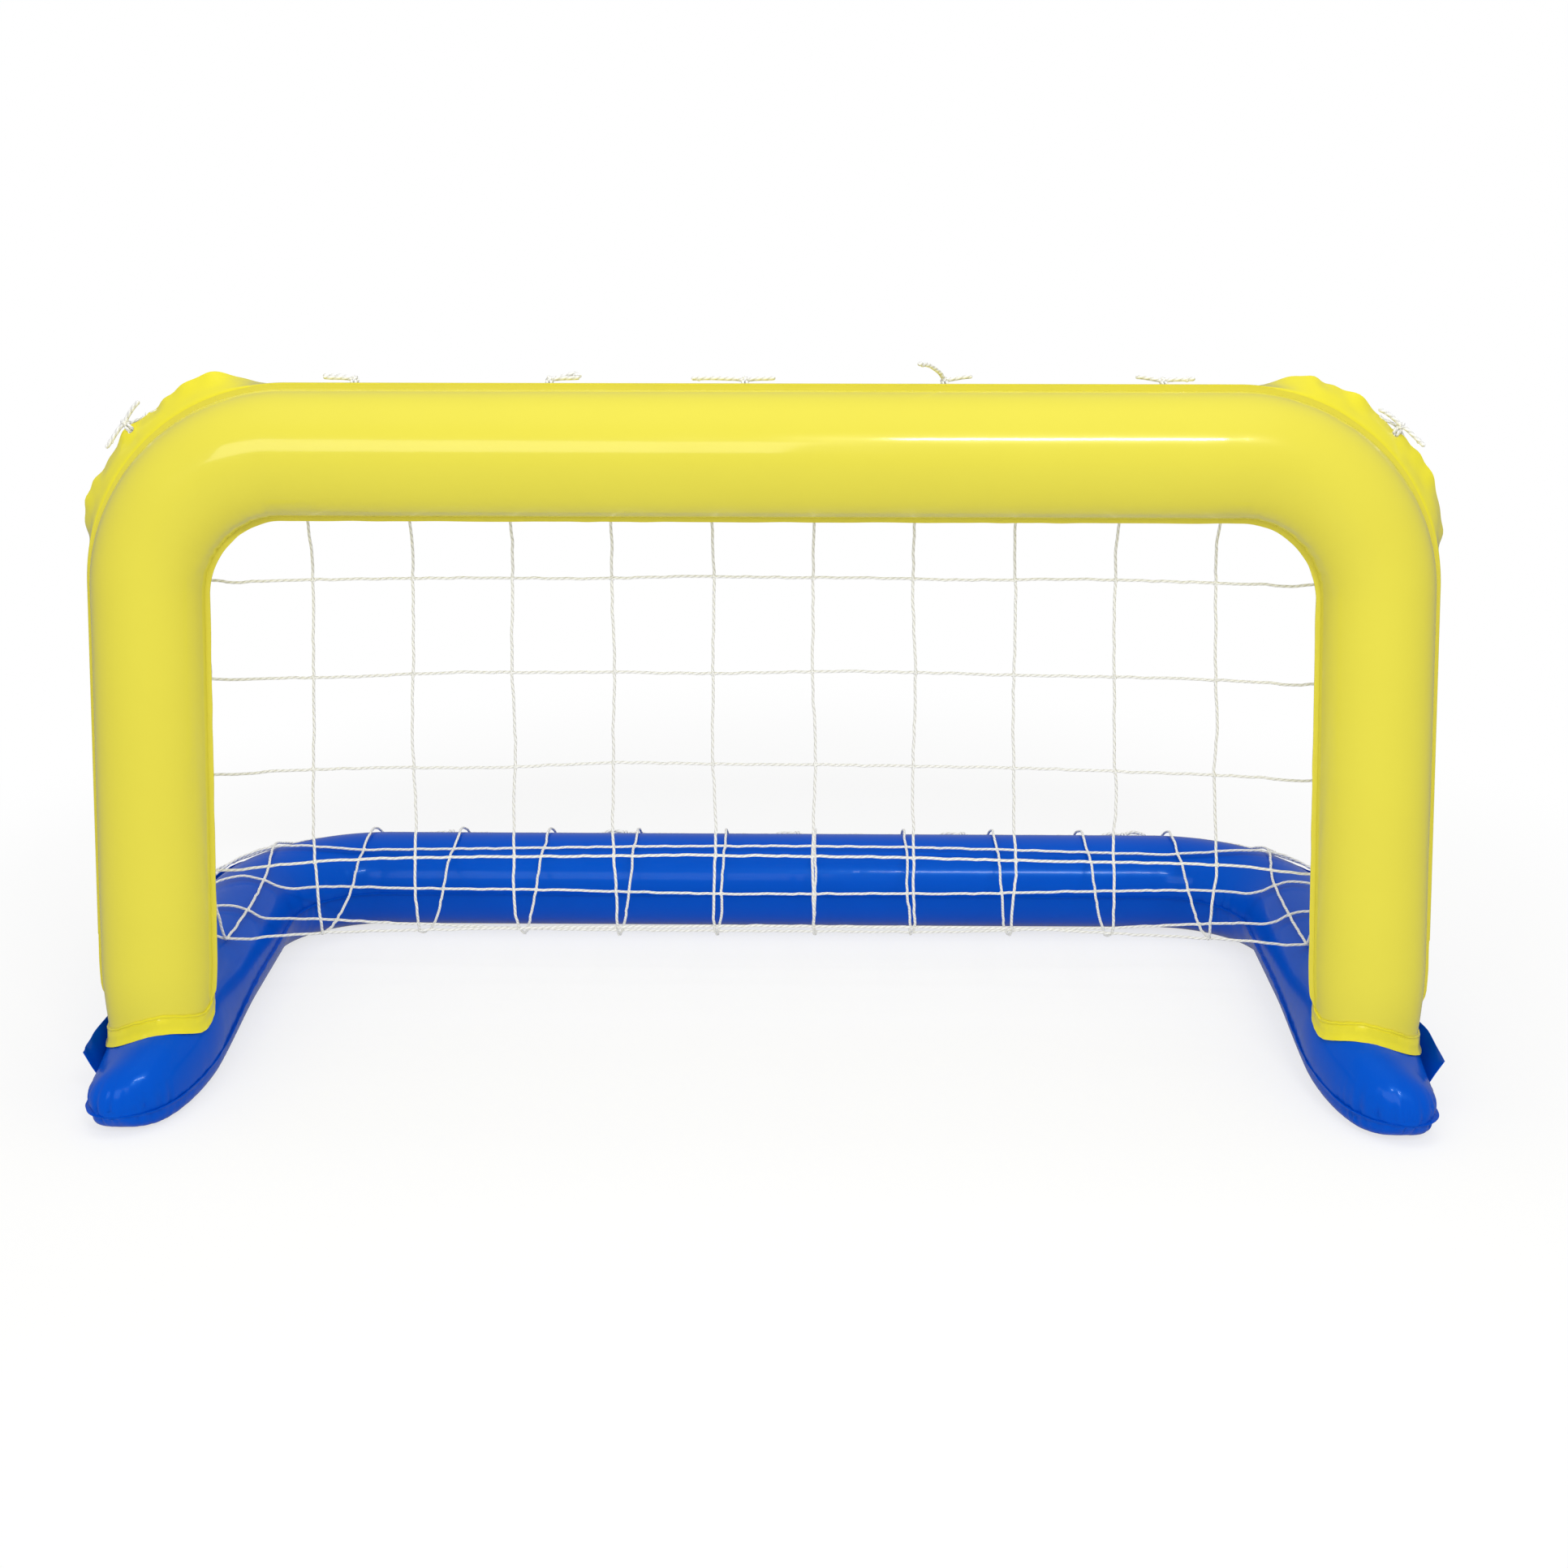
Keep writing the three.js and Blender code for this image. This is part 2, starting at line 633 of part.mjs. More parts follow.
// A strand keeps only the points that its bends need
function strandPoints(from, to) {
  const start = netKnots[from.row][from.column];
  const end = netKnots[to.row][to.column];
  const samples = Array.from({ length: strandSteps - 1 }, (_, step) => {
    const share = (step + 1) / strandSteps;
    return netPoint(
      THREE.MathUtils.lerp(columnAt(from.column), columnAt(to.column), share),
      THREE.MathUtils.lerp(from.row, to.row, share),
    );
  });
  const kept = [start];
  const tolerance = drapeClearance - cordRadius - touchGap;
  const simplify = (points) => {
    if (points.length < 3) return points;
    const first = points[0];
    const last = points[points.length - 1];
    const line = new THREE.Line3(first, last);
    let worst = 0;
    let index = 0;
    points.slice(1, -1).forEach((point, i) => {
      const gap = line.closestPointToPoint(point, true, new THREE.Vector3()).distanceTo(point);
      if (gap > worst) {
        worst = gap;
        index = i + 1;
      }
    });
    if (worst < tolerance) return [first, last];
    return [...simplify(points.slice(0, index + 1)).slice(0, -1), ...simplify(points.slice(index))];
  };
  kept.push(...simplify([start, ...samples, end]).slice(1, -1), end);
  return kept;
}

const knotLeadShare = 1.2;

// The whole net is one body. Every knot is a small block, and every strand is a
// four-sided cord that leaves the block's face.
function buildNet() {
  const points = [];
  const triangles = [];
  const half = netKnotWidth / 2;
  const facing = (row, column) => {
    const within = (index, last) => THREE.MathUtils.clamp(index, 0, last);
    const at = (r, c) => netKnots[within(r, rowGaps)][within(c, columnGaps)];
    const along = at(row, column + 1).clone().sub(at(row, column - 1)).normalize();
    const down = at(row + 1, column).clone().sub(at(row - 1, column)).normalize();
    const normal = new THREE.Vector3().crossVectors(along, down).normalize();
    return { along, down: new THREE.Vector3().crossVectors(normal, along), normal };
  };
  const frames = netKnots.map((line, row) => line.map((_, column) => facing(row, column)));
  const corner = (row, column, x, y, z) => {
    const { along, down, normal } = frames[row][column];
    points.push(netKnots[row][column].clone()
      .addScaledVector(along, x * half).addScaledVector(down, y * half).addScaledVector(normal, z * half));
    return points.length - 1;
  };
  const blocks = netKnots.map((line, row) => line.map((_, column) => {
    const at = {};
    const signs = [-1, 1];
    const corners = signs.flatMap((x) => signs.flatMap((y) => signs.map((z) => [x, y, z])));
    for (const [x, y, z] of corners) at[`${x},${y},${z}`] = corner(row, column, x, y, z);
    return at;
  }));
  const quad = (a, b, c, d) => triangles.push([a, b, c], [a, c, d]);
  const faceOf = (row, column, axis, side) => {
    const at = blocks[row][column];
    const key = (p, q) => (axis === 'along' ? at[`${side},${p},${q}`] : at[`${p},${side},${q}`]);
    return [key(-1, -1), key(1, -1), key(1, 1), key(-1, 1)];
  };
  const ringAt = (centre, axisA, axisB, radius) => {
    const reach = radius * Math.SQRT1_2;
    return [[-1, -1], [1, -1], [1, 1], [-1, 1]].map(([p, q]) => {
      points.push(centre.clone().addScaledVector(axisA, p * reach).addScaledVector(axisB, q * reach));
      return points.length - 1;
    });
  };
  const bridge = (ringA, ringB) => ringA.forEach((_, i) => {
    const j = (i + 1) % ringA.length;
    quad(ringA[i], ringA[j], ringB[j], ringB[i]);
  });
  const strand = (from, to, axis) => {
    const line = strandPoints(from, to);
    const startFrame = frames[from.row][from.column];
    const endFrame = frames[to.row][to.column];
    const axisOf = (frame) => (axis === 'along' ? frame.down : frame.along);
    const lead = netKnotWidth * knotLeadShare;
    const first = line[0].clone().addScaledVector(line[1].clone().sub(line[0]).normalize(), lead);
    const before = line[line.length - 2];
    const last = line[line.length - 1].clone()
      .addScaledVector(before.clone().sub(line[line.length - 1]).normalize(), lead);
    const stops = [first, ...line.slice(1, -1), last];
    let ring = faceOf(from.row, from.column, axis, 1);
    stops.forEach((centre, i) => {
      const share = (i + 1) / (stops.length + 1);
      const ahead = (stops[i + 1] ?? netKnots[to.row][to.column]).clone();
      const behind = (stops[i - 1] ?? netKnots[from.row][from.column]).clone();
      const travel = ahead.sub(behind).normalize();
      const rough = axisOf(startFrame).clone().lerp(axisOf(endFrame), share);
      const axisA = rough.addScaledVector(travel, -rough.dot(travel)).normalize();
      const axisB = new THREE.Vector3().crossVectors(travel, axisA);
      if (axisB.dot(startFrame.normal.clone().lerp(endFrame.normal, share)) < 0) axisB.negate();
      const next = ringAt(centre, axisA, axisB, cordRadius);
      bridge(ring, next);
      ring = next;
    });
    bridge(ring, faceOf(to.row, to.column, axis, -1));
  };
  const sideOf = (axis) => (axis === 'along' ? 1 : -1);
  for (let row = 0; row <= rowGaps; row += 1) {
    for (let column = 0; column <= columnGaps; column += 1) {
      const at = blocks[row][column];
      quad(at['-1,-1,1'], at['1,-1,1'], at['1,1,1'], at['-1,1,1']);
      quad(at['-1,-1,-1'], at['-1,1,-1'], at['1,1,-1'], at['1,-1,-1']);
      const close = (axis, side) => {
        const [a, b, c, d] = faceOf(row, column, axis, side);
        if (side * sideOf(axis) > 0) quad(a, b, c, d);
        else quad(a, d, c, b);
      };
      if (column === 0) close('along', -1);
      if (column === columnGaps) close('along', 1);
      if (row === 0) close('down', -1);
      if (row === rowGaps) close('down', 1);
    }
  }
  for (let row = 0; row <= rowGaps; row += 1) {
    for (let column = 0; column < columnGaps; column += 1) {
      strand({ row, column }, { row, column: column + 1 }, 'along');
    }
  }
  const level = triangles.splice(0);
  for (let row = 0; row < rowGaps; row += 1) {
    for (let column = 0; column <= columnGaps; column += 1) {
      strand({ row, column }, { row: row + 1, column }, 'down');
    }
  }
  const hanging = triangles.map(([a, b, c]) => [a, c, b]);
  return closedGeometry(points, [...level, ...hanging]);
}

// Collars: a band of vinyl round each post's foot, whose lower edge follows the
// round back of the foot below it

const saddleEdgeShare = 0.995;
const saddleTries = 6;

function baseTopAt({ x, y }) {
  const size = baseSizeAt(baseHalfLength - y - footReach);
  const across = (Math.abs(x) - armSpacing / 2 - size.skew) / size.width;
  const rise = Math.sqrt(1 - Math.min(Math.abs(across), saddleEdgeShare) ** 2);
  return baseAxisHeight + (size.crest + size.keel) / 2 + ((size.crest - size.keel) / 2) * rise;
}

function saddleHeight(side, angle) {
  let height = baseTop;
  for (let step = 0; step < saddleTries; step += 1) {
    const radius = postRadiusAt(height);
    const { place } = framePlace(side * postDistance(height));
    const point = place(radius * Math.cos(angle), radius * Math.sin(angle));
    height += baseTopAt(point) - point.z;
  }
  return height;
}

function buildCollar(side) {
  const stations = Array.from({ length: 2 * halfTubeSides }, (_, step) => {
    const angle = (Math.PI * step) / halfTubeSides;
    const saddle = saddleHeight(side, angle);
    const heights = [saddle - collarWidth / 6, saddle + collarWidth / 4, saddle + collarWidth];
    const [low, middle, top] = heights.map((height) => [postRadiusAt(height) + collarClearance, height]);
    const place = (radius, height) =>
      framePlace(side * postDistance(height)).place(radius * Math.cos(angle), radius * Math.sin(angle));
    const outline = [
      low,
      [low[0] + collarThickness + collarFlare, low[1]],
      [middle[0] + collarThickness, middle[1]],
      [top[0] + collarThickness, top[1]],
      top,
      middle,
    ];
    return { place, outline };
  });
  return cut(loft(stations, true), baseEnvelope);
}

// Ties: a short cord passes through a hole in the strip and round the net's edge
// cord, and ends in a knot with two tails

const cordSide = new THREE.Vector3(0.31, 0.52, 0.79);

function cordTube(points, endless = false) {
  const stations = points.map((point, i) => {
    const before = points[i - 1] ?? (endless ? points[points.length - 1] : point);
    const after = points[i + 1] ?? (endless ? points[0] : point);
    const travel = after.clone().sub(before).normalize();
    return { point, travel };
  });
  let across = cordSide.clone().cross(stations[0].travel).normalize();
  return loft(stations.map(({ point, travel }) => {
    across = across.clone().addScaledVector(travel, -across.dot(travel)).normalize();
    const other = new THREE.Vector3().crossVectors(travel, across);
    const [here, square, round] = [point, across.clone(), other];
    return {
      place: (a, b) => here.clone().addScaledVector(square, a).addScaledVector(round, b),
      outline: Array.from({ length: cordSides }, (_, side) => {
        const angle = (2 * Math.PI * side) / cordSides;
        return [tieRadius * Math.cos(angle), tieRadius * Math.sin(angle)];
      }),
    };
  }), endless);
}

// Tail shapes, as shares of the tail's length: along the strip, away from the tube,
// and out past the strip's edge
const tailShares = {
  trailing: [[0.5, 0.06, -0.1], [1, 0.02, -0.22]],
  lifted: [[0.45, 0.22, 0.02], [0.9, 0.3, -0.05]],
  hooked: [[0.5, 0.36, 0.1], [1.05, 0.3, -0.05]],
  overFront: [[0.25, 0.3, -0.6], [0.6, 0.28, -1.25], [0.95, 0.02, -1.75]],
  long: [[0.6, 0.08, -0.08], [1.2, 0.03, -0.2], [1.8, 0.06, -0.12]],
  bowed: [[0.4, 0.3, 0.05], [0.85, 0.52, 0], [1.05, 0.3, -0.05]],
};

function strandLine(from, to) {
  const line = strandPoints(from, to);
  return line.slice(1).map((end, i) => new THREE.Line3(line[i], end));
}

function nearestOn(lines, point) {
  const options = lines.map((line) => {
    const at = line.closestPointToPoint(point, true, new THREE.Vector3());
    return { at, direction: line.delta(new THREE.Vector3()).normalize(), gap: at.distanceTo(point) };
  });
  return options.sort((a, b) => a.gap - b.gap)[0];
}

function buildTie({ hole, tubeMiddle, lines, tails, heading }) {
  const { at: cord, direction } = nearestOn(lines, hole);
  if (direction.dot(heading) < 0) direction.negate();
  const out = cord.clone().sub(hole).normalize();
  const along = direction.clone().addScaledVector(out, -direction.dot(out)).normalize();
  const away = new THREE.Vector3().crossVectors(along, out);
  if (away.dot(hole.clone().sub(tubeMiddle)) < 0) away.negate();
  const near = tieHoleDiameter / 2 - tieRadius - 2 * touchGap;
  const far = cord.distanceTo(hole) + cordRadius + tieRadius + 4 * touchGap;
  const centre = hole.clone().addScaledVector(out, (near + far) / 2);
  const loopPoints = Array.from({ length: loopSteps }, (_, step) => {
    const angle = (2 * Math.PI * step) / loopSteps + Math.PI / 2;
    return centre.clone()
      .addScaledVector(out, ((far - near) / 2) * Math.cos(angle))
      .addScaledVector(away, (tieLoopHeight / 2) * Math.sin(angle));
  });
  const knotCentre = loopPoints[0].clone().addScaledVector(away, tieKnotDiameter / 4);
  const knot = mergeVertices(bareKnot(tieKnotDiameter / 2)).translate(...knotCentre.toArray());
  const tailTubes = tails.map(([shape, sense]) => cordTube([
    knotCentre,
    ...tailShares[shape].map(([a, b, c]) => knotCentre.clone()
      .addScaledVector(along, sense * a * tieTailLength)
      .addScaledVector(away, b * tieTailLength)
      .addScaledVector(out, c * tieTailLength)),
  ]));
  return join(cordTube(loopPoints, true), knot, ...tailTubes);
}

function bareKnot(radius) {
  const knot = new THREE.OctahedronGeometry(radius, 0);
  knot.deleteAttribute('normal');
  knot.deleteAttribute('uv');
  return knot;
}

const toRight = new THREE.Vector3(1, 0, 0);
const toFloor = new THREE.Vector3(0, 0, -1);
const toFront = new THREE.Vector3(0, -1, 0);

// Each tie holds one gap of the net's edge, at a share of the way along it. The
// corner ties sit in the middle of the frame's bends.
const cornerTieShare = (framePath.bendLength(frameStripOffset) * (0.5 - frameCornerShare)) / netRowPitch;
const crossbarTies = [
  { name: 'tie_crossbar_1', gap: 2, share: 0.16, tails: [['hooked', -1], ['trailing', -1]] },
  { name: 'tie_crossbar_2', gap: 4, share: 0.24, tails: [['bowed', 1], ['trailing', 1]] },
  { name: 'tie_crossbar_3', gap: 6, share: 0.32, tails: [['long', -1], ['trailing', 1]] },
  { name: 'tie_crossbar_4', gap: 8, share: 0.44, tails: [['overFront', -1], ['lifted', 1]] },
  { name: 'tie_crossbar_5', gap: 10, share: 0.76, tails: [['trailing', 1], ['lifted', -1]] },
];
const postTies = [
  { place: 'corner', gap: 0, share: cornerTieShare, tails: [['trailing', 1], ['lifted', -1]] },
  { place: 'post_upper', gap: 2, share: 0.32, tails: [['hooked', 1], ['trailing', 1]] },
  { place: 'post_lower', gap: 4, share: 0.42, tails: [['lifted', -1], ['trailing', 1]] },
];
const rearTies = [
  { name: 'tie_base_corner_left', gap: 0, share: 0.6, tails: [['trailing', 1], ['lifted', -1]] },
  { name: 'tie_base_rear_1', gap: 2, share: 0.73, tails: [['trailing', 1], ['lifted', -1]] },
  { name: 'tie_base_rear_2', gap: 4, share: 0.77, tails: [['lifted', 1], ['hooked', -1]] },
  { name: 'tie_base_rear_3', gap: 6, share: 0.8, tails: [['trailing', 1], ['lifted', -1]] },
  { name: 'tie_base_rear_4', gap: 8, share: 0.74, tails: [['trailing', 1], ['lifted', -1]] },
  { name: 'tie_base_rear_5', gap: 10, share: 0.63, tails: [['hooked', 1], ['hooked', -1]] },
  { name: 'tie_base_corner_right', gap: 12, share: 0.4, tails: [['trailing', -1], ['lifted', 1]] },
];
const armTies = [
  { place: 'arm_rear', gap: 8, share: 0.45, tails: [['trailing', 1], ['lifted', -1]] },
  { place: 'arm_front', gap: 6, share: 0.3, tails: [['hooked', 1], ['trailing', -1]] },
];

function tiePlan() {
  const frameHole = (distance) => {
    const station = frameStripAt(distance);
    const hole = stripPoint(station, frameStripWidth - tieHoleEdge);
    return { station, hole, tubeMiddle: station.place(0, 0) };
  };
  const baseHole = (distance) => {
    const station = baseStripAt(distance);
    const hole = stripPoint(station, baseStripWidth - tieHoleEdge);
    return { station, hole, tubeMiddle: station.place(0, 0) };
  };
  const columnStrand = (row, gap) => strandLine({ row, column: gap }, { row, column: gap + 1 });
  const sideStrand = (column, gap) => strandLine({ row: gap, column }, { row: gap + 1, column });
  const acrossShare = (gap, share) => columnAt(gap + share);
  const plan = [];
  for (const { name, gap, share, tails } of crossbarTies) {
    const spot = frameHole(acrossShare(gap, share) * frameCornerDistance);
    plan.push({ name, strip: 'frame', ...spot, lines: columnStrand(0, gap), tails, heading: toRight });
  }
  for (const { name, gap, share, tails } of rearTies) {
    const spot = baseHole(acrossShare(gap, share) * baseCornerDistance);
    plan.push({ name, strip: 'base', ...spot, lines: columnStrand(rowGaps, gap), tails, heading: toRight });
  }
  for (const [sideName, side, column] of [['left', -1, 0], ['right', 1, columnGaps]]) {
    for (const { place, gap, share, tails } of postTies) {
      const distance = frameCornerDistance + (gap + share) * netRowPitch;
      const spot = frameHole(side * distance);
      const lines = sideStrand(column, gap);
      const name = `tie_${place}_${sideName}`;
      plan.push({ name, strip: 'frame', ...spot, lines, tails, heading: toFloor });
    }
    for (const { place, gap, share, tails } of armTies) {
      const armShare = (gap + share - postRows - 1) / (rowGaps - postRows - 1);
      const distance = THREE.MathUtils.lerp(armNetEnd, baseCornerDistance, armShare);
      const spot = baseHole(side * distance);
      const lines = sideStrand(column, gap);
      const name = `tie_${place}_${sideName}`;
      plan.push({ name, strip: 'base', ...spot, lines, tails, heading: toFront });
    }
  }
  return plan;
}

const ties = tiePlan();

function holeCutter({ station, hole }) {
  const [, , middle, tip] = station.line;
  const normal = station.place(middle[1] - tip[1], tip[0] - middle[0]).sub(station.place(0, 0)).normalize();
  const reach = tieHoleDiameter;
  const radius = tieHoleDiameter / 2 / Math.cos(Math.PI / holeSides);
  return revolved([[0, -reach], [radius, -reach], [radius, reach], [0, reach]], hole, normal, holeSides);
}

function buildStrip(name, stations) {
  const ribbon = loft(stations.map((station) => ({
    place: station.place,
    outline: ribbonOutline(station.line, stripThickness),
  })), false, true);
  return cut(ribbon, ...ties.filter(({ strip }) => strip === name).map(holeCutter));
}

// Inflation valves: a soft stem that pushes into the tube through a welded flange,
// a stopper in its bore, and a check flap over its inner end

const flangeSkirtShare = 3;

function buildValve({ name, carrierCut, surface, direction, tabHeading }) {
  const stemRadius = valveStemDiameter / 2;
  const boreRadius = valveBoreDiameter / 2;
  const lipRadius = valveLipDiameter / 2;
  const flangeRadius = valveFlangeDiameter / 2;
  const top = valveStemHeight + valveFlangeThickness;
  const spin = (profile) => revolved(profile, surface, direction);
  const hole = stemRadius + touchGap;
  const skirt = -valveFlangeThickness * flangeSkirtShare;
  const disc = spin([
    [hole, skirt], [flangeRadius, skirt], [flangeRadius, valveFlangeThickness],
    [hole, valveFlangeThickness], [hole, skirt],
  ]);
  const stem = spin([
    [boreRadius, -valveStemDepth], [stemRadius, -valveStemDepth], [stemRadius, top - valveLipThickness],
    [lipRadius, top - valveLipThickness], [lipRadius, top], [boreRadius, top], [boreRadius, -valveStemDepth],
  ]);
  const capLow = top + touchGap;
  const capHigh = capLow + stopperCapThickness;
  const plug = spin([
    [0, top - stopperShankLength], [boreRadius - touchGap, top - stopperShankLength],
    [boreRadius - touchGap, capLow], [lipRadius, capLow], [lipRadius, capHigh], [0, capHigh],
  ]);
  const tab = new THREE.BoxGeometry(stopperTabLength * 2, stopperCapThickness, lipRadius);
  tab.deleteAttribute('normal');
  tab.deleteAttribute('uv');
  const side = new THREE.Vector3().crossVectors(tabHeading, direction);
  const basis = new THREE.Matrix4().makeBasis(tabHeading, direction, side);
  const tabCentre = surface.clone()
    .addScaledVector(tabHeading, lipRadius)
    .addScaledVector(direction, (capLow + capHigh) / 2);
  tab.applyMatrix4(basis).translate(...tabCentre.toArray());
  const flapRadius = boreRadius + flapThickness * 2;
  const flapTop = -valveStemDepth - touchGap;
  const flapLow = flapTop - flapThickness;
  const flap = spin([[0, flapLow], [flapRadius, flapLow], [flapRadius, flapTop], [0, flapTop]]);
  addPiece(`${name}_valve_flange`, cut(disc, carrierCut), valveClear);
  addPiece(`${name}_valve_stem`, stem, valveClear);
  addPiece(`${name}_valve_stopper`, join(plug, mergeVertices(tab)), valveClear);
  addPiece(`${name}_valve_flap`, flap, valveClear);
}

function pocketCutter(surface, direction) {
  const radius = valveStemDiameter / 2 + touchGap;
  const depth = valveStemDepth + valveStemTravel + flapSwingRoom;
  return revolved([[0, -depth], [radius, -depth], [radius, depth], [0, depth]], surface, direction);
}

// Each valve sits in the middle of one gap of the net's edge
const frameValveRow = 3;
const baseValveColumn = 9;
const valveKnots = [frameValveRow, frameValveRow + 1].map((row) => netKnots[row][columnGaps]);
const frameValveDistance = postDistance((valveKnots[0].z + valveKnots[1].z) / 2);
const frameValve = {
  surface: framePlace(frameValveDistance).place(0, frameSizeAt(frameValveDistance).radius),
  direction: frameRear,
};
const baseValveSpan = (netKnots[rowGaps][baseValveColumn].x + netKnots[rowGaps][baseValveColumn + 1].x) / 2;
const baseValve = {
  surface: new THREE.Vector3(
    baseValveSpan,
    rearTubeDepth + baseRadius * Math.cos(baseValveTilt),
    baseAxisHeight + baseRadius * Math.sin(baseValveTilt),
  ),
  direction: new THREE.Vector3(0, Math.cos(baseValveTilt), Math.sin(baseValveTilt)),
};

addPiece('frame_front_panel', cut(frameHalf(-1), baseEnvelope), vinylYellow);
const framePocket = pocketCutter(frameValve.surface, frameValve.direction);
const basePocket = pocketCutter(baseValve.surface, baseValve.direction);
addPiece('frame_rear_panel', cut(frameHalf(1), baseEnvelope, framePocket), vinylYellow);
const frameStripStops = symmetricStations([
  ...bendDistances(framePath, frameStripOffset, ruffleSteps), frameStripHalf,
]);
const frameStrip = buildStrip('frame', frameStripStops.map((distance) => frameStripAt(distance)));
addPiece('frame_net_strip', frameStrip, stripYellow);
addPiece('left_post_collar', buildCollar(-1), stripYellow);
addPiece('right_post_collar', buildCollar(1), stripYellow);
addPiece('base_top_panel', baseHalf(1), vinylBlue);
addPiece('base_bottom_panel', cut(baseHalf(-1), basePocket), vinylBlue);
const baseStripShift = basePath.bendLength(baseStripOffset) - basePath.bendLength(0);
const baseLegStops = baseDistances
  .filter((distance) => distance > basePath.straight + basePath.bendLength(0))
  .map((distance) => distance + baseStripShift)
  .filter((distance) => distance <= baseStripHalf + touchGap);
const baseStripStops = symmetricStations([...bendDistances(basePath, baseStripOffset), ...baseLegStops]);
const baseStrip = buildStrip('base', baseStripStops.map((distance) => baseStripAt(distance)));
addPiece('base_net_strip', baseStrip, vinylBlue);
buildValve({ name: 'frame', carrierCut: frameHalf(1, touchGap), ...frameValve, tabHeading: legDown });
buildValve({ name: 'base', carrierCut: baseHalf(-1, touchGap), ...baseValve, tabHeading: toRight });
addPiece('net', buildNet(), cordWhite);
for (const tie of ties) addPiece(tie.name, buildTie(tie), cordWhite);

// The goal stands on the floor with the middle of its footprint at the origin
const bounds = new THREE.Box3().setFromObject(goal);
goal.position.set(0, -(bounds.min.y + bounds.max.y) / 2, -bounds.min.z);

export default goal;
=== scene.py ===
"""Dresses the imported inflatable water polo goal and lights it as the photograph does."""

import logging
import math
from dataclasses import dataclass, field
from enum import Enum

import bpy
import numpy as np
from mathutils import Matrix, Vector

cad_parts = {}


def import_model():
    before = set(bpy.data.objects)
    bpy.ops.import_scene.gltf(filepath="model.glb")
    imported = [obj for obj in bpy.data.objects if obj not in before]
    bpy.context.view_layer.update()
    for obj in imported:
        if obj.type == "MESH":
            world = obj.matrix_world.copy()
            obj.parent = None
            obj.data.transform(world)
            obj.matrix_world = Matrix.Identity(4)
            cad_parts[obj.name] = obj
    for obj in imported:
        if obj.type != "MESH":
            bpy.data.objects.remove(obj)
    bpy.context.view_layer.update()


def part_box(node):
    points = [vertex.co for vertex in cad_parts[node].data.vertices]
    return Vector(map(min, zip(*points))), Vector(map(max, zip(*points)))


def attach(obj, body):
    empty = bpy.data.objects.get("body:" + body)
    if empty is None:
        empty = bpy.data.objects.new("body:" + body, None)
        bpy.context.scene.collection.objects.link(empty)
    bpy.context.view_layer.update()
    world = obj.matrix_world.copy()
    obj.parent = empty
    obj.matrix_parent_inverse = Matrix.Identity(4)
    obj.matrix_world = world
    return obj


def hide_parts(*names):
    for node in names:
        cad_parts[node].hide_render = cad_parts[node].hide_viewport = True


log = logging.getLogger("water_polo_goal")
Colour = tuple[float, float, float, float]
Faces = list[tuple[int, ...]]
Number = float | np.ndarray
Outline = list[tuple[float, float]]
Socket = bpy.types.NodeSocket

# A way that no cord and no valve of the goal runs along
ASKEW = (0.31, 0.52, 0.79)

# An uneven wave: the height, pace and shift of each of its wanderings, and its two parts
WAVE_WANDER = ((1.3, 0.23, 1.0), (0.9, 0.41, 2.2))
WAVE_MAIN, WAVE_SMALL = 0.62, 0.38
WAVE_PACE, WAVE_BEND = 1.83, 2.0
WAVE_START = 3.1
PINCH_SHARPNESS = 2.6

# A seen colour's full strength, its straight part below the knee, and its curve above
SEEN_FULL = 255
SEEN_KNEE, SEEN_SLOPE = 0.04045, 12.92
SEEN_SHIFT, SEEN_POWER = 0.055, 2.4

# The shortest length that is divided by, and the least step of a curve's own measure
TINY = 1e-12
LEAST_STEP = 1e-4

# How far the base's valve looks down
BASE_VALVE_TILT = math.radians(-34)

# How finely holes are punched, and how far the punch stands off the piece
HOLE_SIDES = 20
HOLE_REACH = 0.004


class Side(Enum):
    """Which of two mirrored places a piece takes."""

    LEFT = -1
    RIGHT = 1


class Half(Enum):
    """Which of a tube's two welded sheets a panel is."""

    FIRST = -1
    SECOND = 1


class Tail(Enum):
    """How a tie's loose end lies: along the strip, away from the tube, past the strip's edge."""

    TRAILING = ((0.2, 0.08, -0.02), (0.5, 0.07, -0.1), (0.8, 0.03, -0.17), (1.0, 0.02, -0.22))
    LIFTED = ((0.2, 0.12, 0.02), (0.45, 0.22, 0.02), (0.7, 0.29, -0.01), (0.9, 0.3, -0.05))
    HOOKED = ((0.2, 0.22, 0.06), (0.5, 0.36, 0.1), (0.8, 0.37, 0.04), (1.05, 0.3, -0.05))
    OVER_FRONT = ((0.1, 0.2, -0.25), (0.25, 0.3, -0.6), (0.6, 0.28, -1.25), (0.95, 0.02, -1.75))
    LONG = ((0.3, 0.1, -0.03), (0.6, 0.08, -0.08), (1.2, 0.03, -0.2), (1.8, 0.06, -0.12))
    BOWED = ((0.2, 0.18, 0.04), (0.4, 0.32, 0.05), (0.8, 0.52, 0.02), (1.05, 0.3, -0.05))


def linear(red: int, green: int, blue: int) -> Colour:
    """Turns a colour as it is seen into the renderer's own values.

    Args:
        red: Red, from 0 to 255.
        green: Green, from 0 to 255.
        blue: Blue, from 0 to 255.

    Returns:
        The linear colour, with full alpha.
    """
    values = []
    for share in (red / SEEN_FULL, green / SEEN_FULL, blue / SEEN_FULL):
        curved = ((share + SEEN_SHIFT) / (1 + SEEN_SHIFT)) ** SEEN_POWER
        values.append(share / SEEN_SLOPE if share <= SEEN_KNEE else curved)
    return (*values, 1.0)


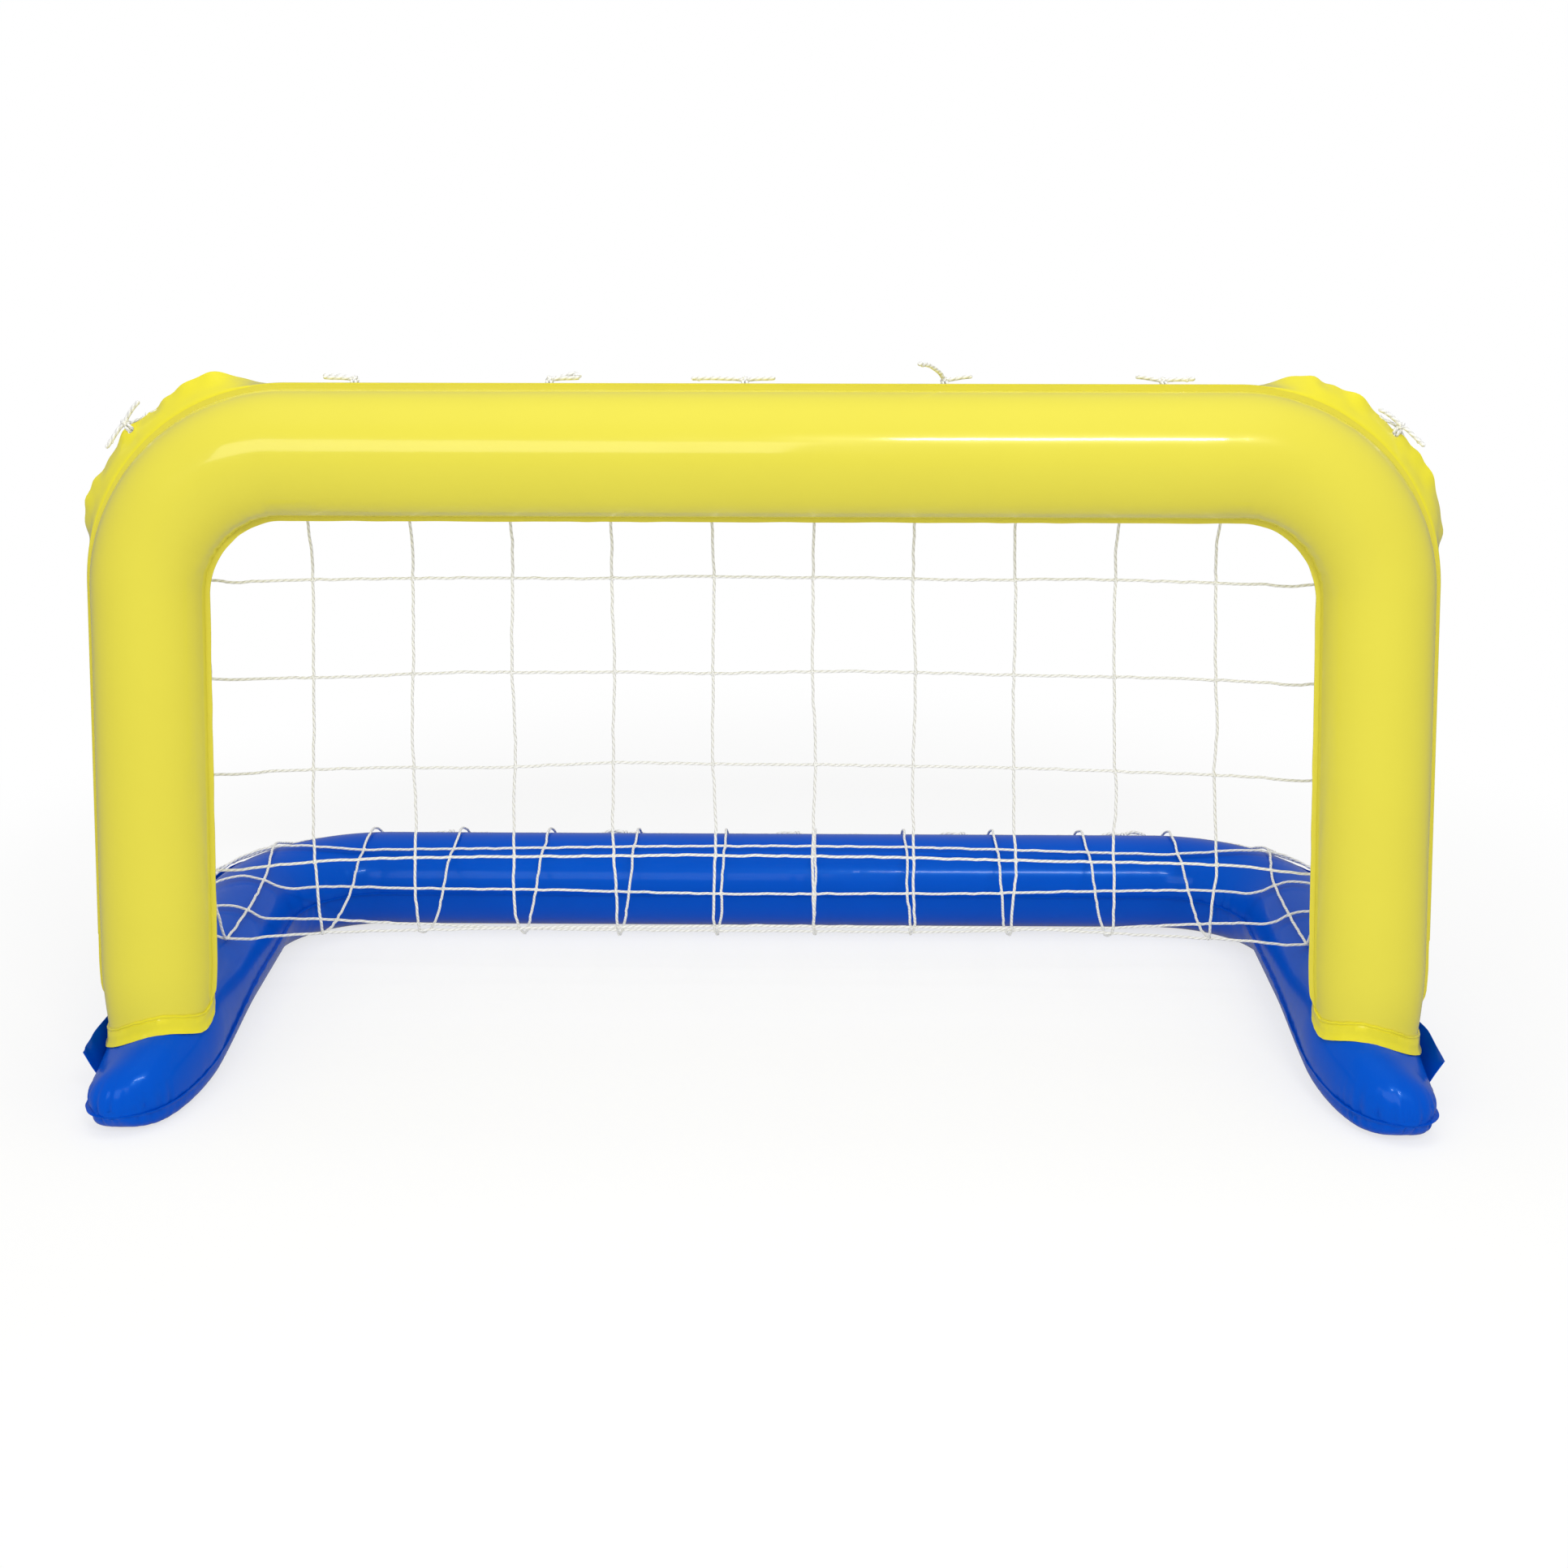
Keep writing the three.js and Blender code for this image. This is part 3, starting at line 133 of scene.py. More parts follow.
def smoothstep(value: Number, low: float, high: float) -> Number:
    """Rises smoothly from 0 at low to 1 at high."""
    share = np.clip((value - low) / (high - low), 0.0, 1.0)
    return share * share * (3 - 2 * share)


def lerp(start: Number, end: Number, share: float) -> Number:
    """Gives the value at a share of the way from start to end."""
    return start + (end - start) * share


def unit(vector: np.ndarray) -> np.ndarray:
    """Scales vectors to a length of 1."""
    return vector / np.maximum(np.linalg.norm(vector, axis=-1, keepdims=True), TINY)


def ripple(place: Number, length: float, seed: float) -> Number:
    """Gives an uneven wave between -1 and 1 along a seam.

    Args:
        place: Distance along the seam, in metres.
        length: The wave's usual length, in metres.
        seed: Shifts the wave, so that no two seams match.

    Returns:
        The wave's height at each place.
    """
    phase = 2 * np.pi * np.asarray(place) / length + WAVE_START * seed
    wander = sum(height * np.sin(phase * pace + shift * seed) for height, pace, shift in WAVE_WANDER)
    small = WAVE_SMALL * np.sin(phase * WAVE_PACE + WAVE_BEND * wander + seed)
    return WAVE_MAIN * np.sin(phase + wander) + small


def pinch(place: Number, length: float, seed: float) -> Number:
    """Gives narrow uneven puckers between 0 and 1, as a weld draws into soft sheet."""
    return np.clip((1 + ripple(place, length, seed)) / 2, 0, 1) ** PINCH_SHARPNESS


def lengths_along(line: np.ndarray) -> np.ndarray:
    """Gives the distance from a line's start to each of its points."""
    return np.concatenate([[0.0], np.cumsum(np.linalg.norm(np.diff(line, axis=0), axis=1))])


def ways_round(side: np.ndarray, other: np.ndarray, count: int) -> np.ndarray:
    """Gives evenly turned ways, from one way through another and all round."""
    angles = 2 * np.pi * np.arange(count) / count
    return np.cos(angles)[:, None] * side + np.sin(angles)[:, None] * other


def link_object(name: str, mesh: bpy.types.Mesh) -> bpy.types.Object:
    """Makes an object of a mesh and puts it in the scene."""
    made = bpy.data.objects.new(name, mesh)
    bpy.context.scene.collection.objects.link(made)
    return made


class ShaderTree:
    """The node tree of a material or a world, filled one node at a time."""

    def __init__(self, owner: bpy.types.Material | bpy.types.World) -> None:
        """Opens the owner's tree."""
        owner.use_nodes = True
        self.nodes, self.links = owner.node_tree.nodes, owner.node_tree.links

    def feed(self, node: bpy.types.Node, inputs: dict[str | int, Socket | float | Colour]) -> None:
        """Sets a node's inputs, each to a value or from another node's socket.

        Args:
            node: The node.
            inputs: The values and sockets, by the inputs' names or places.
        """
        for key, value in inputs.items():
            if isinstance(value, Socket):
                self.links.new(value, node.inputs[key])
            else:
                node.inputs[key].default_value = value

    def add(self, kind: str, inputs: dict[str | int, Socket | float | Colour]) -> bpy.types.Node:
        """Adds a node of a kind and sets its inputs."""
        node = self.nodes.new(f"ShaderNode{kind}")
        self.feed(node, inputs)
        return node

    def noise(self, scale: float, inputs: dict[str, Socket | float]) -> Socket:
        """Adds a noise of a scale, with any other inputs."""
        return self.add("TexNoise", {"Scale": scale, **inputs}).outputs["Fac"]

    def bump(self, height: Socket, distance: float, inputs: dict[str, Socket]) -> Socket:
        """Adds a bump of a height, with any other inputs."""
        return self.add("Bump", {"Height": height, "Distance": distance, **inputs}).outputs["Normal"]

    def maths(self, operation: str, value: Socket, other: Socket | float = 0.0) -> Socket:
        """Adds one sum.

        Args:
            operation: The sum's name.
            value: The socket that feeds it.
            other: The second number, or the socket that gives it.

        Returns:
            The sum's output.
        """
        node = self.nodes.new("ShaderNodeMath")
        node.operation = operation
        self.feed(node, {0: value, 1: other})
        return node.outputs[0]

    def blend(self, share: Socket, start: Colour, end: Colour) -> Socket:
        """Blends two colours.

        Args:
            share: The socket that gives the second colour's share.
            start: The first colour.
            end: The second colour.

        Returns:
            The blended colour's socket.
        """
        node = self.nodes.new("ShaderNodeMix")
        node.data_type = "RGBA"
        self.feed(node, {"Factor": share, "A": start, "B": end})
        return node.outputs["Result"]

    def mix(self, share: Socket, start: Socket, end: Socket) -> Socket:
        """Mixes two shaders by a share."""
        return self.add("MixShader", {"Fac": share, 1: start, 2: end}).outputs["Shader"]


def new_material(name: str) -> tuple[bpy.types.Material, ShaderTree, bpy.types.Node]:
    """Starts a material.

    Args:
        name: Its name.

    Returns:
        The material, its tree and its shader.
    """
    made = bpy.data.materials.new(name)
    tree = ShaderTree(made)
    return made, tree, tree.nodes["Principled BSDF"]


@dataclass(frozen=True)
class VinylFinish:
    """Soft glossy sheet: a faint mottled colour, a fine skin and long soft dents."""

    name: str
    colour: Colour
    shade: Colour
    roughness: float = 0.24
    roughness_spread: float = 0.08
    skin_scale: float = 900.0
    skin_depth: float = 0.00003
    dent_scale: float = 14.0
    dent_depth: float = 0.0006
    dent_detail: float = 1.0
    mottle_detail: float = 4.0
    mirror_tint: Colour = (1.0, 0.97, 0.7, 1.0)
    mirror_level: float = 0.3
    coat: float = 0.6
    coat_roughness: float = 0.08
    refraction: float = 1.5

    def material(self) -> bpy.types.Material:
        """Builds the finish.

        Returns:
            The node material.
        """
        made, tree, shader = new_material(self.name)
        place = {"Vector": tree.add("TexCoord", {}).outputs["Object"]}
        mottle = tree.noise(self.dent_scale / 2, {"Detail": self.mottle_detail, **place})
        dents = tree.noise(self.dent_scale, {"Detail": self.dent_detail, **place})
        skin = tree.noise(self.skin_scale, place)
        smear = tree.add("MapRange", {
            "Value": mottle,
            "To Min": self.roughness - self.roughness_spread / 2,
            "To Max": self.roughness + self.roughness_spread / 2,
        })
        dented = tree.bump(dents, self.dent_depth, {})
        tree.feed(shader, {
            "Base Color": tree.blend(mottle, self.colour, self.shade),
            "Roughness": smear.outputs["Result"],
            "Normal": tree.bump(skin, self.skin_depth, {"Normal": dented}),
            "Coat Weight": self.coat,
            "Coat Roughness": self.coat_roughness,
            "Specular IOR Level": self.mirror_level,
            "Specular Tint": self.mirror_tint,
            "IOR": self.refraction,
        })
        return made


@dataclass(frozen=True)
class CordFinish:
    """White cord: plies that run round it, with painted shade darkening the grooves between them."""

    name: str
    colour: Colour
    groove_shade: Colour
    plies: float = 2.0
    lay: float = 0.0075
    depth: float = 0.0006
    fuzz_scale: float = 1800.0
    fuzz_share: float = 0.25
    roughness: float = 0.8
    sheen: float = 0.25

    def material(self) -> bpy.types.Material:
        """Builds the finish on the cord's own length and turn coordinates.

        Returns:
            The node material.
        """
        made, tree, shader = new_material(self.name)
        place = tree.add("UVMap", {})
        place.uv_map = "cord"
        split = tree.add("SeparateXYZ", {"Vector": place.outputs["UV"]}).outputs
        along = tree.maths("MULTIPLY", split["X"], 1 / self.lay)
        around = tree.maths("MULTIPLY", split["Y"], self.plies)
        angle = tree.maths("MULTIPLY", tree.maths("ADD", along, around), math.pi)
        height = tree.maths("ABSOLUTE", tree.maths("SINE", angle))
        rough = tree.bump(tree.noise(self.fuzz_scale, {}), self.depth * self.fuzz_share, {})
        # The grooves between the plies take the darker colour as painted shade.
        tree.feed(shader, {
            "Base Color": tree.blend(height, self.groove_shade, self.colour),
            "Normal": tree.bump(height, self.depth, {"Normal": rough}),
            "Roughness": self.roughness,
            "Sheen Weight": self.sheen,
        })
        return made


@dataclass(frozen=True)
class ValveFinish:
    """Soft cloudy moulded vinyl of the valves."""

    name: str
    colour: Colour
    shade: Colour
    roughness: float = 0.35
    clearness: float = 0.3
    cloud_scale: float = 175.0
    grain_scale: float = 700.0
    grain_depth: float = 0.00005

    def material(self) -> bpy.types.Material:
        """Builds the finish.

        Returns:
            The node material.
        """
        made, tree, shader = new_material(self.name)
        place = {"Vector": tree.add("TexCoord", {}).outputs["Object"]}
        cloud = tree.noise(self.cloud_scale, place)
        grain = tree.noise(self.grain_scale, place)
        tree.feed(shader, {
            "Base Color": tree.blend(cloud, self.colour, self.shade),
            "Normal": tree.bump(grain, self.grain_depth, {}),
            "Roughness": self.roughness,
            "Transmission Weight": self.clearness,
        })
        return made


@dataclass
class Finishes:
    """The materials of the goal."""

    yellow_sheet: bpy.types.Material
    yellow_strip: bpy.types.Material
    blue_sheet: bpy.types.Material
    cord: bpy.types.Material
    valve: bpy.types.Material

    @classmethod
    def build(cls) -> "Finishes":
        """Makes every finish once."""
        return cls(
            yellow_sheet=VinylFinish(
                "yellow_sheet", linear(229, 219, 72), linear(225, 213, 68)
            ).material(),
            yellow_strip=VinylFinish(
                "yellow_strip", linear(238, 228, 44), linear(232, 219, 46), roughness=0.3
            ).material(),
            blue_sheet=VinylFinish(
                "blue_sheet", linear(0, 84, 204), linear(0, 76, 194),
                mirror_tint=(0.12, 0.5, 1.0, 1.0), coat=0.12,
            ).material(),
            # The cord's second colour is painted shade for the grooves between its plies.
            cord=CordFinish("white_cord", linear(253, 253, 251), linear(224, 223, 217)).material(),
            valve=ValveFinish("cloudy_valve", linear(234, 234, 228), linear(214, 214, 206)).material(),
        )


def mesh_piece(
    name: str,
    points: np.ndarray,
    faces: Faces,
    material: bpy.types.Material,
    sharp_from: float = 50.0,
) -> bpy.types.Object:
    """Makes one smooth-shaded object.

    Args:
        name: The piece's name.
        points: Its points in the part's frame.
        faces: Its faces, as indices of points.
        material: Its finish.
        sharp_from: The angle in degrees from which an edge stays sharp.

    Returns:
        The new object.
    """
    mesh = bpy.data.meshes.new(name)
    mesh.from_pydata(points.tolist(), [], faces)
    mesh.validate()
    mesh.polygons.foreach_set("use_smooth", [True] * len(mesh.polygons))
    mesh.set_sharp_from_angle(angle=math.radians(sharp_from))
    mesh.materials.append(material)
    return link_object(name, mesh)


def lofted(rings: np.ndarray, endless: bool = False) -> tuple[np.ndarray, Faces]:
    """Skins closed rings of points.

    Args:
        rings: Points, as rings by places round a ring by 3.
        endless: Whether the last ring joins the first.

    Returns:
        The points and the faces, with the ends closed where it isn't endless.
    """
    count, sides = rings.shape[:2]
    faces: Faces = []
    for ring in range(count if endless else count - 1):
        here, ahead = ring * sides, ((ring + 1) % count) * sides
        for side in range(sides):
            turn = (side + 1) % sides
            faces.append((here + side, ahead + side, ahead + turn, here + turn))
    if not endless:
        faces.append(tuple(range(sides)))
        faces.append(tuple(range(count * sides - 1, (count - 1) * sides - 1, -1)))
    return rings.reshape(-1, 3), faces


def spline(points: np.ndarray, spacing: float, endless: bool = False) -> np.ndarray:
    """Draws a smooth line through evenly placed points.

    Args:
        points: The points that it passes through.
        spacing: About how far apart the drawn points are, in metres.
        endless: Whether it closes on itself.

    Returns:
        The drawn points; a closed line's last point isn't its first.
    """
    points = np.asarray(points, float)
    if endless:
        held = np.vstack([points[-1], points, points[0], points[1]])
    else:
        held = np.vstack([2 * points[0] - points[1], points, 2 * points[-1] - points[-2]])
    drawn = []
    for i in range(1, len(held) - 2):
        before, start, end, after = held[i - 1 : i + 3]
        steps = max(2, int(math.ceil(np.linalg.norm(end - start) / spacing)))
        for step in range(steps):
            t = step / steps
            square = (2 * before - 5 * start + 4 * end - after) * t * t
            cube = (3 * start - before - 3 * end + after) * t**3
            drawn.append((2 * start + (end - before) * t + square + cube) / 2)
    if not endless:
        drawn.append(held[-2])
    return np.array(drawn)


@dataclass
class CordBundle:
    """Cords gathered into one mesh, with coordinates along and round each of them."""

    sides: int = 8
    end_reach: tuple[float, ...] = (1.0, 0.75, 0.35)
    end_size: tuple[float, ...] = (0.15, 0.66, 0.93)
    knot_steps: int = 22
    sharp_from: float = 75.0
    points: list[np.ndarray] = field(default_factory=list)
    faces: Faces = field(default_factory=list)
    coordinates: list[tuple[float, float]] = field(default_factory=list)
    count: int = 0

    def add(self, line: np.ndarray, radius: float, endless: bool = False) -> None:
        """Adds one cord with rounded ends.

        Args:
            line: The points that its middle follows.
            radius: Its radius in metres.
            endless: Whether it is a closed loop.
        """
        line = np.asarray(line, float)
        radii = np.full(len(line), radius)
        if not endless:
            start, end = unit(line[0] - line[1]), unit(line[-1] - line[-2])
            head = [line[0] + start * radius * reach for reach in self.end_reach]
            foot = [line[-1] + end * radius * reach for reach in reversed(self.end_reach)]
            line = np.vstack([head, line, foot])
            radii = np.concatenate([radius * np.array(self.end_size), radii,
                                    radius * np.array(self.end_size[::-1])])
        ahead = np.roll(line, -1, axis=0)
        behind = np.roll(line, 1, axis=0)
        if not endless:
            ahead[-1], behind[0] = line[-1], line[0]
        travel = unit(ahead - behind)
        across = unit(np.cross(travel[0], ASKEW))
        lengths = lengths_along(line)
        first = self.count
        for centre, way, size in zip(line, travel, radii):
            across = unit(across - way * np.dot(across, way))
            self.points.append(centre + size * ways_round(across, np.cross(way, across), self.sides))
        self.count += len(line) * self.sides
        total = len(line)
        for ring in range(total if endless else total - 1):
            here, there = first + ring * self.sides, first + ((ring + 1) % total) * self.sides
            low = lengths[ring]
            high = lengths[ring + 1] if ring + 1 < total else low + (lengths[1] - lengths[0])
            for side in range(self.sides):
                turn = (side + 1) % self.sides
                self.faces.append((here + side, here + turn, there + turn, there + side))
                at, to = side / self.sides, (side + 1) / self.sides
                self.coordinates += [(low, at), (low, to), (high, to), (high, at)]
        if not endless:
            self.faces.append(tuple(first + side for side in reversed(range(self.sides))))
            self.coordinates += [(0.0, 0.0)] * self.sides
            last = first + (total - 1) * self.sides
            self.faces.append(tuple(last + side for side in range(self.sides)))
            self.coordinates += [(lengths[-1], 0.0)] * self.sides

    def add_knot(self, centre: np.ndarray, right: np.ndarray, up: np.ndarray, size: float,
                 radius: float) -> None:
        """Adds an overhand knot drawn tight.

        Args:
            centre: The knot's middle.
            right: The way of the cord that runs through it.
            up: A second way across it.
            size: About half its width in metres.
            radius: The cord's radius in metres.
        """
        right = unit(right)
        up = unit(up - right * np.dot(up, right))
        out = np.cross(right, up)
        t = np.linspace(0, 2 * np.pi, self.knot_steps, endpoint=False)
        shape = np.stack([np.sin(t) + 2 * np.sin(2 * t), np.cos(t) - 2 * np.cos(2 * t),
                          -np.sin(3 * t)], 1)
        shape *= (size - radius) / 3
        self.add(centre + shape @ np.stack([right, up, out]), radius, endless=True)

    def piece(self, name: str, material: bpy.types.Material) -> bpy.types.Object:
        """Makes the bundle's object.

        Args:
            name: The piece's name.
            material: Its finish.

        Returns:
            The new object.
        """
        made = mesh_piece(name, np.vstack(self.points), self.faces, material, self.sharp_from)
        layer = made.data.uv_layers.new(name="cord")
        layer.data.foreach_set("uv", np.array(self.coordinates, float).ravel())
        return made


@dataclass(frozen=True)
class UPath:
    """The middle line of a U: a crown, two bends and two legs, in the U's own plane."""

    half_span: float
    crown: float
    bend_radius: float
    splay: float = 0.0

    @property
    def turn(self) -> float:
        """The angle that each bend turns through."""
        return math.pi / 2 - self.splay

    @property
    def straight(self) -> float:
        """Half the crown's straight length."""
        return self.half_span - self.bend_radius * math.tan(self.turn / 2)

    def bend_length(self, offset: float = 0.0) -> float:
        """The length of a bend, measured a distance outside the middle line."""
        return (self.bend_radius + offset) * self.turn

    def locate(self, distance: float, offset: float = 0.0) -> tuple[np.ndarray, np.ndarray, float, float]:
        """Finds a place on the line.

        Args:
            distance: Distance from the crown's middle, negative to the left.
            offset: How far outside the middle line the distance is measured.

        Returns:
            The point, the outward way, the share of the bend, and the length along the leg.
        """
        side = -1.0 if distance < 0 else 1.0
        run = abs(distance)
        bend = self.bend_length(offset)
        angle = min(max((run - self.straight) / (self.bend_radius + offset), 0.0), self.turn)
        leg = max(run - self.straight - bend, 0.0)
        flat = min(run, self.straight)
        point = np.array([
            side * (flat + self.bend_radius * math.sin(angle) + leg * math.cos(angle)),
            self.crown - self.bend_radius * (1 - math.cos(angle)) - leg * math.sin(angle),
        ])
        outward = np.array([side * math.sin(angle), math.cos(angle)])
        return point, outward, angle / self.turn, leg


@dataclass
class Sizes:
    """The sizes that more than one piece is built from, in metres."""

    goal_height: float = 0.763
    crossbar_radius: float = 0.0655
    post_radius: float = 0.0595
    post_foot_radius: float = 0.054
    post_foot_taper: float = 0.075
    post_foot_height: float = 0.080
    post_foot_advance: float = 0.068
    post_end_depth: float = 0.002
    post_spacing_top: float = 1.284
    post_spacing_foot: float = 1.323
    frame_bend_radius: float = 0.150
    base_radius: float = 0.060
    base_axis_height: float = 0.058
    arm_spacing: float = 1.316
    rear_tube_depth: float = 0.454
    foot_reach: float = 0.188
    foot_front_height: float = 0.078
    foot_front_rounding: float = 0.062
    foot_slope_length: float = 0.156
    foot_tip_rounding: float = 0.016
    foot_skew: float = 0.026
    foot_seam_height: float = 0.024
    seam_drop_length: float = 0.330
    base_strip_end: float = 0.084
    base_bend_radius: float = 0.160
    sheet_thickness: float = 0.0005
    weld_width: float = 0.005
    strip_thickness: float = 0.0008
    frame_strip_width: float = 0.038
    base_strip_width: float = 0.034
    collar_width: float = 0.019
    tie_hole_edge: float = 0.007
    tie_hole_diameter: float = 0.008
    net_cord_radius: float = 0.0016
    tie_cord_radius: float = 0.0019
    gap: float = 0.0003

    @property
    def base_top(self) -> float:
        """The height of the base tube's top."""
        return self.base_axis_height + self.base_radius

    @property
    def post_end_height(self) -> float:
        """The height at which the posts' middle lines end, in the frame's own plane."""
        return self.base_axis_height - self.post_end_depth


@dataclass
class Tube:
    """A tube along a U, made of two sheets that are welded along both edges."""

    sizes: Sizes
    finishes: Finishes
    plane: float

    def sheet(self, name: str, rings: np.ndarray, material: bpy.types.Material, slot: str,
              valve: "Valve | None") -> None:
        """Skins one sheet, opens it under the valve that it carries and dresses it.

        Args:
            name: The piece's name.
            rings: Its sections.
            material: Its finish.
            slot: Not used.
            valve: The valve, or None on a sheet without one.
        """
        points, faces = lofted(rings)
        made = mesh_piece(name, points, faces, material)
        if valve:
            valve.sink(made)
        dress(made, "goal", name)
        log.info("built %s", made.name)


@dataclass
class GoalFrame(Tube):
    """The inverted-U tube: a front and a rear sheet."""

    half_steps: int = 44
    spacing: float = 0.006
    weld_rest: float = 0.0002
    weld_room: float = 1.5
    pucker_length: float = 0.014
    pucker_depth: float = 0.0022
    outer_reach: float = 0.015
    inner_reach: float = 0.030
    outer_puckers: tuple[float, float] = (0.04, 0.3)
    inner_puckers: tuple[float, float] = (0.05, 0.8)
    inner_stretch: float = 0.55
    swell: tuple[float, float] = (0.0006, 0.21)
    rim_waver: float = 0.0003
    rim_lengths: tuple[float, float] = (0.11, 0.09)
    foot_start: float = 0.132
    foot_rings: int = 12
    foot_lap: float = 0.003
    saddle_tries: int = 6

    def __post_init__(self) -> None:
        """Works out the middle line and how far the frame leans back."""
        s = self.sizes
        rise = s.goal_height - s.crossbar_radius - s.base_axis_height
        splay = math.atan2((s.post_spacing_foot - s.post_spacing_top) / 2, rise)
        self.lean = math.asin(s.post_foot_advance / rise)
        self.path = UPath(s.post_spacing_top / 2, s.goal_height - s.crossbar_radius,
                          s.frame_bend_radius, splay)
        leg_rise = self.path.crown - s.frame_bend_radius * (1 - math.cos(self.path.turn))
        self.leg_length = (leg_rise - s.post_end_height) / math.sin(self.path.turn)
        self.half_length = self.path.straight + self.path.bend_length() + self.leg_length

    @property
    def leg_down(self) -> np.ndarray:
        """The way down the posts, without their splay."""
        return np.array([0.0, -math.sin(self.lean), -math.cos(self.lean)])

    @property
    def rear(self) -> np.ndarray:
        """The way square to the frame's plane, to the back."""
        return np.array([0.0, math.cos(self.lean), -math.sin(self.lean)])

    def distance_at(self, height: float) -> float:
        """The distance along the middle line to a height on a post, in the frame's own plane."""
        return self.half_length - (height - self.sizes.post_end_height) / math.sin(self.path.turn)

    def place(self, distance: float, across: np.ndarray, square: np.ndarray,
              offset: float = 0.0) -> np.ndarray:
        """Places a section's points in the part's frame.

        Args:
            distance: Distance along the U.
            across: How far each point lies outward in the U's plane.
            square: How far each point lies behind that plane.
            offset: Where the distance is measured.

        Returns:
            The points.
        """
        point, outward, _, _ = self.path.locate(distance, offset)
        across, square = np.broadcast_arrays(np.asarray(across, float), np.asarray(square, float))
        flat = point + across[..., None] * outward
        drop = self.path.crown - flat[..., 1]
        start = np.stack([flat[..., 0], np.full_like(drop, self.plane),
                          np.full_like(drop, self.path.crown)], axis=-1)
        return start + drop[..., None] * self.leg_down + square[..., None] * self.rear

    def radius_at(self, distance: float) -> float:
        """The tube's radius, which grows from the foot and again towards the crossbar."""
        s = self.sizes
        point, _, bend_share, leg = self.path.locate(distance)
        if leg <= 0:
            return lerp(s.crossbar_radius, s.post_radius, bend_share)
        share = min(max((point[1] - s.post_foot_height) / s.post_foot_taper, 0.0), 1.0)
        return s.post_foot_radius + (s.post_radius - s.post_foot_radius) * math.sin(share * math.pi / 2)

    def saddle_height(self, base: "FloatBase", side: Side, angle: float) -> float:
        """Finds where a post's side meets the round back of the foot below it.

        Args:
            base: The float.
            side: Which post it is.
            angle: The angle round the post, from its outer side to its rear.

        Returns:
            The height in the frame's own plane.
        """
        height = self.sizes.base_top
        for _ in range(self.saddle_tries):
            distance = self.distance_at(height)
            radius = self.radius_at(distance)
            across, up = radius * math.cos(angle), radius * math.sin(angle)
            point = self.place(side.value * distance, across, up)
            height += base.top_at(point) - point[2]
        return float(height)

    def section(self, distance: float, half: Half) -> np.ndarray:
        """Draws one ring of a sheet.

        Args:
            distance: Distance along the U.
            half: Which sheet it is.

        Returns:
            Pairs of outward and square offsets.
        """
        s, side = self.sizes, half.value
        point, _, bend_share, _ = self.path.locate(distance)
        radius = self.radius_at(distance)
        flange_end = s.post_foot_height + s.collar_width
        fade = float(smoothstep(point[1], flange_end, flange_end + s.collar_width))
        flange = s.weld_width * fade + self.weld_rest
        inner = side * s.gap / 2
        outer = inner + side * s.sheet_thickness
        start = math.asin(s.sheet_thickness / radius) * self.weld_room
        angles = np.linspace(start, math.pi - start, self.half_steps + 1)
        in_bend = bend_share * (1 - bend_share) * 4
        depth = 0.0
        for (calm, bent), stretch, seed, from_seam, reach in (
            (self.outer_puckers, 1.0, 1.0 + side, angles, self.outer_reach),
            (self.inner_puckers, self.inner_stretch, 4.0 + side, math.pi - angles, self.inner_reach),
        ):
            folds = pinch(distance * stretch, self.pucker_length, seed)
            seam = np.exp(-from_seam * radius / reach)
            depth = depth + self.pucker_depth * (calm + bent * in_bend) * folds * seam
        swell, swell_length = self.swell
        reach = radius - depth + swell * ripple(distance, swell_length, 2.0) * np.sin(angles)
        arc = np.stack([reach * np.cos(angles), side * reach * np.sin(angles)], 1)
        outer_length, inner_length = self.rim_lengths
        rim = radius + flange + self.rim_waver * float(ripple(distance, outer_length, 3.0))
        inner_rim = radius + flange + self.rim_waver * float(ripple(distance, inner_length, 5.0)) * fade
        head = [(rim, inner), (rim, outer), (radius + flange / 2, outer)]
        foot = [(-radius - flange / 2, outer), (-inner_rim, outer), (-inner_rim, inner)]
        return np.vstack([head, arc, foot])

    def _foot_rings(self, side: Side, half: Half, base: "FloatBase") -> np.ndarray:
        """Carries a post's end down onto the round back of the foot below it.

        Args:
            side: Which post it is.
            half: Which sheet it is.
            base: The float.

        Returns:
            The rings, from the top down.
        """
        first = self.section(self.distance_at(self.foot_start), half)
        turns = np.arctan2(first[:, 1], first[:, 0])
        lows = [self.saddle_height(base, side, float(turn)) - self.foot_lap for turn in turns]
        rings = []
        for step in range(1, self.foot_rings + 1):
            ring = []
            for index, low in enumerate(lows):
                height = lerp(self.foot_start, low, step / self.foot_rings)
                distance = side.value * self.distance_at(height)
                across, square = self.section(distance, half)[index]
                ring.append(self.place(distance, across, square))
            rings.append(ring)
        return np.array(rings)

    def build(self, base: "FloatBase", valve: "Valve") -> None:
        """Builds and dresses both sheets.

        Args:
            base: The float that the posts stand on.
            valve: The valve, which the rear sheet carries.
        """
        end = self.distance_at(self.foot_start)
        for name, half in (("frame_front_panel", Half.FIRST), ("frame_rear_panel", Half.SECOND)):
            rings = []
            for distance in np.linspace(-end, end, 2 * int(end / self.spacing) + 1):
                ring = self.section(distance, half)
                rings.append(self.place(distance, ring[:, 0], ring[:, 1]))
            left, right = (self._foot_rings(side, half, base) for side in Side)
            rings = np.concatenate([left[::-1], np.array(rings), right])
            behind = half is Half.SECOND
            self.sheet(name, rings[::-1] if behind else rings, self.finishes.yellow_sheet,
                       "vinyl_yellow", valve if behind else None)


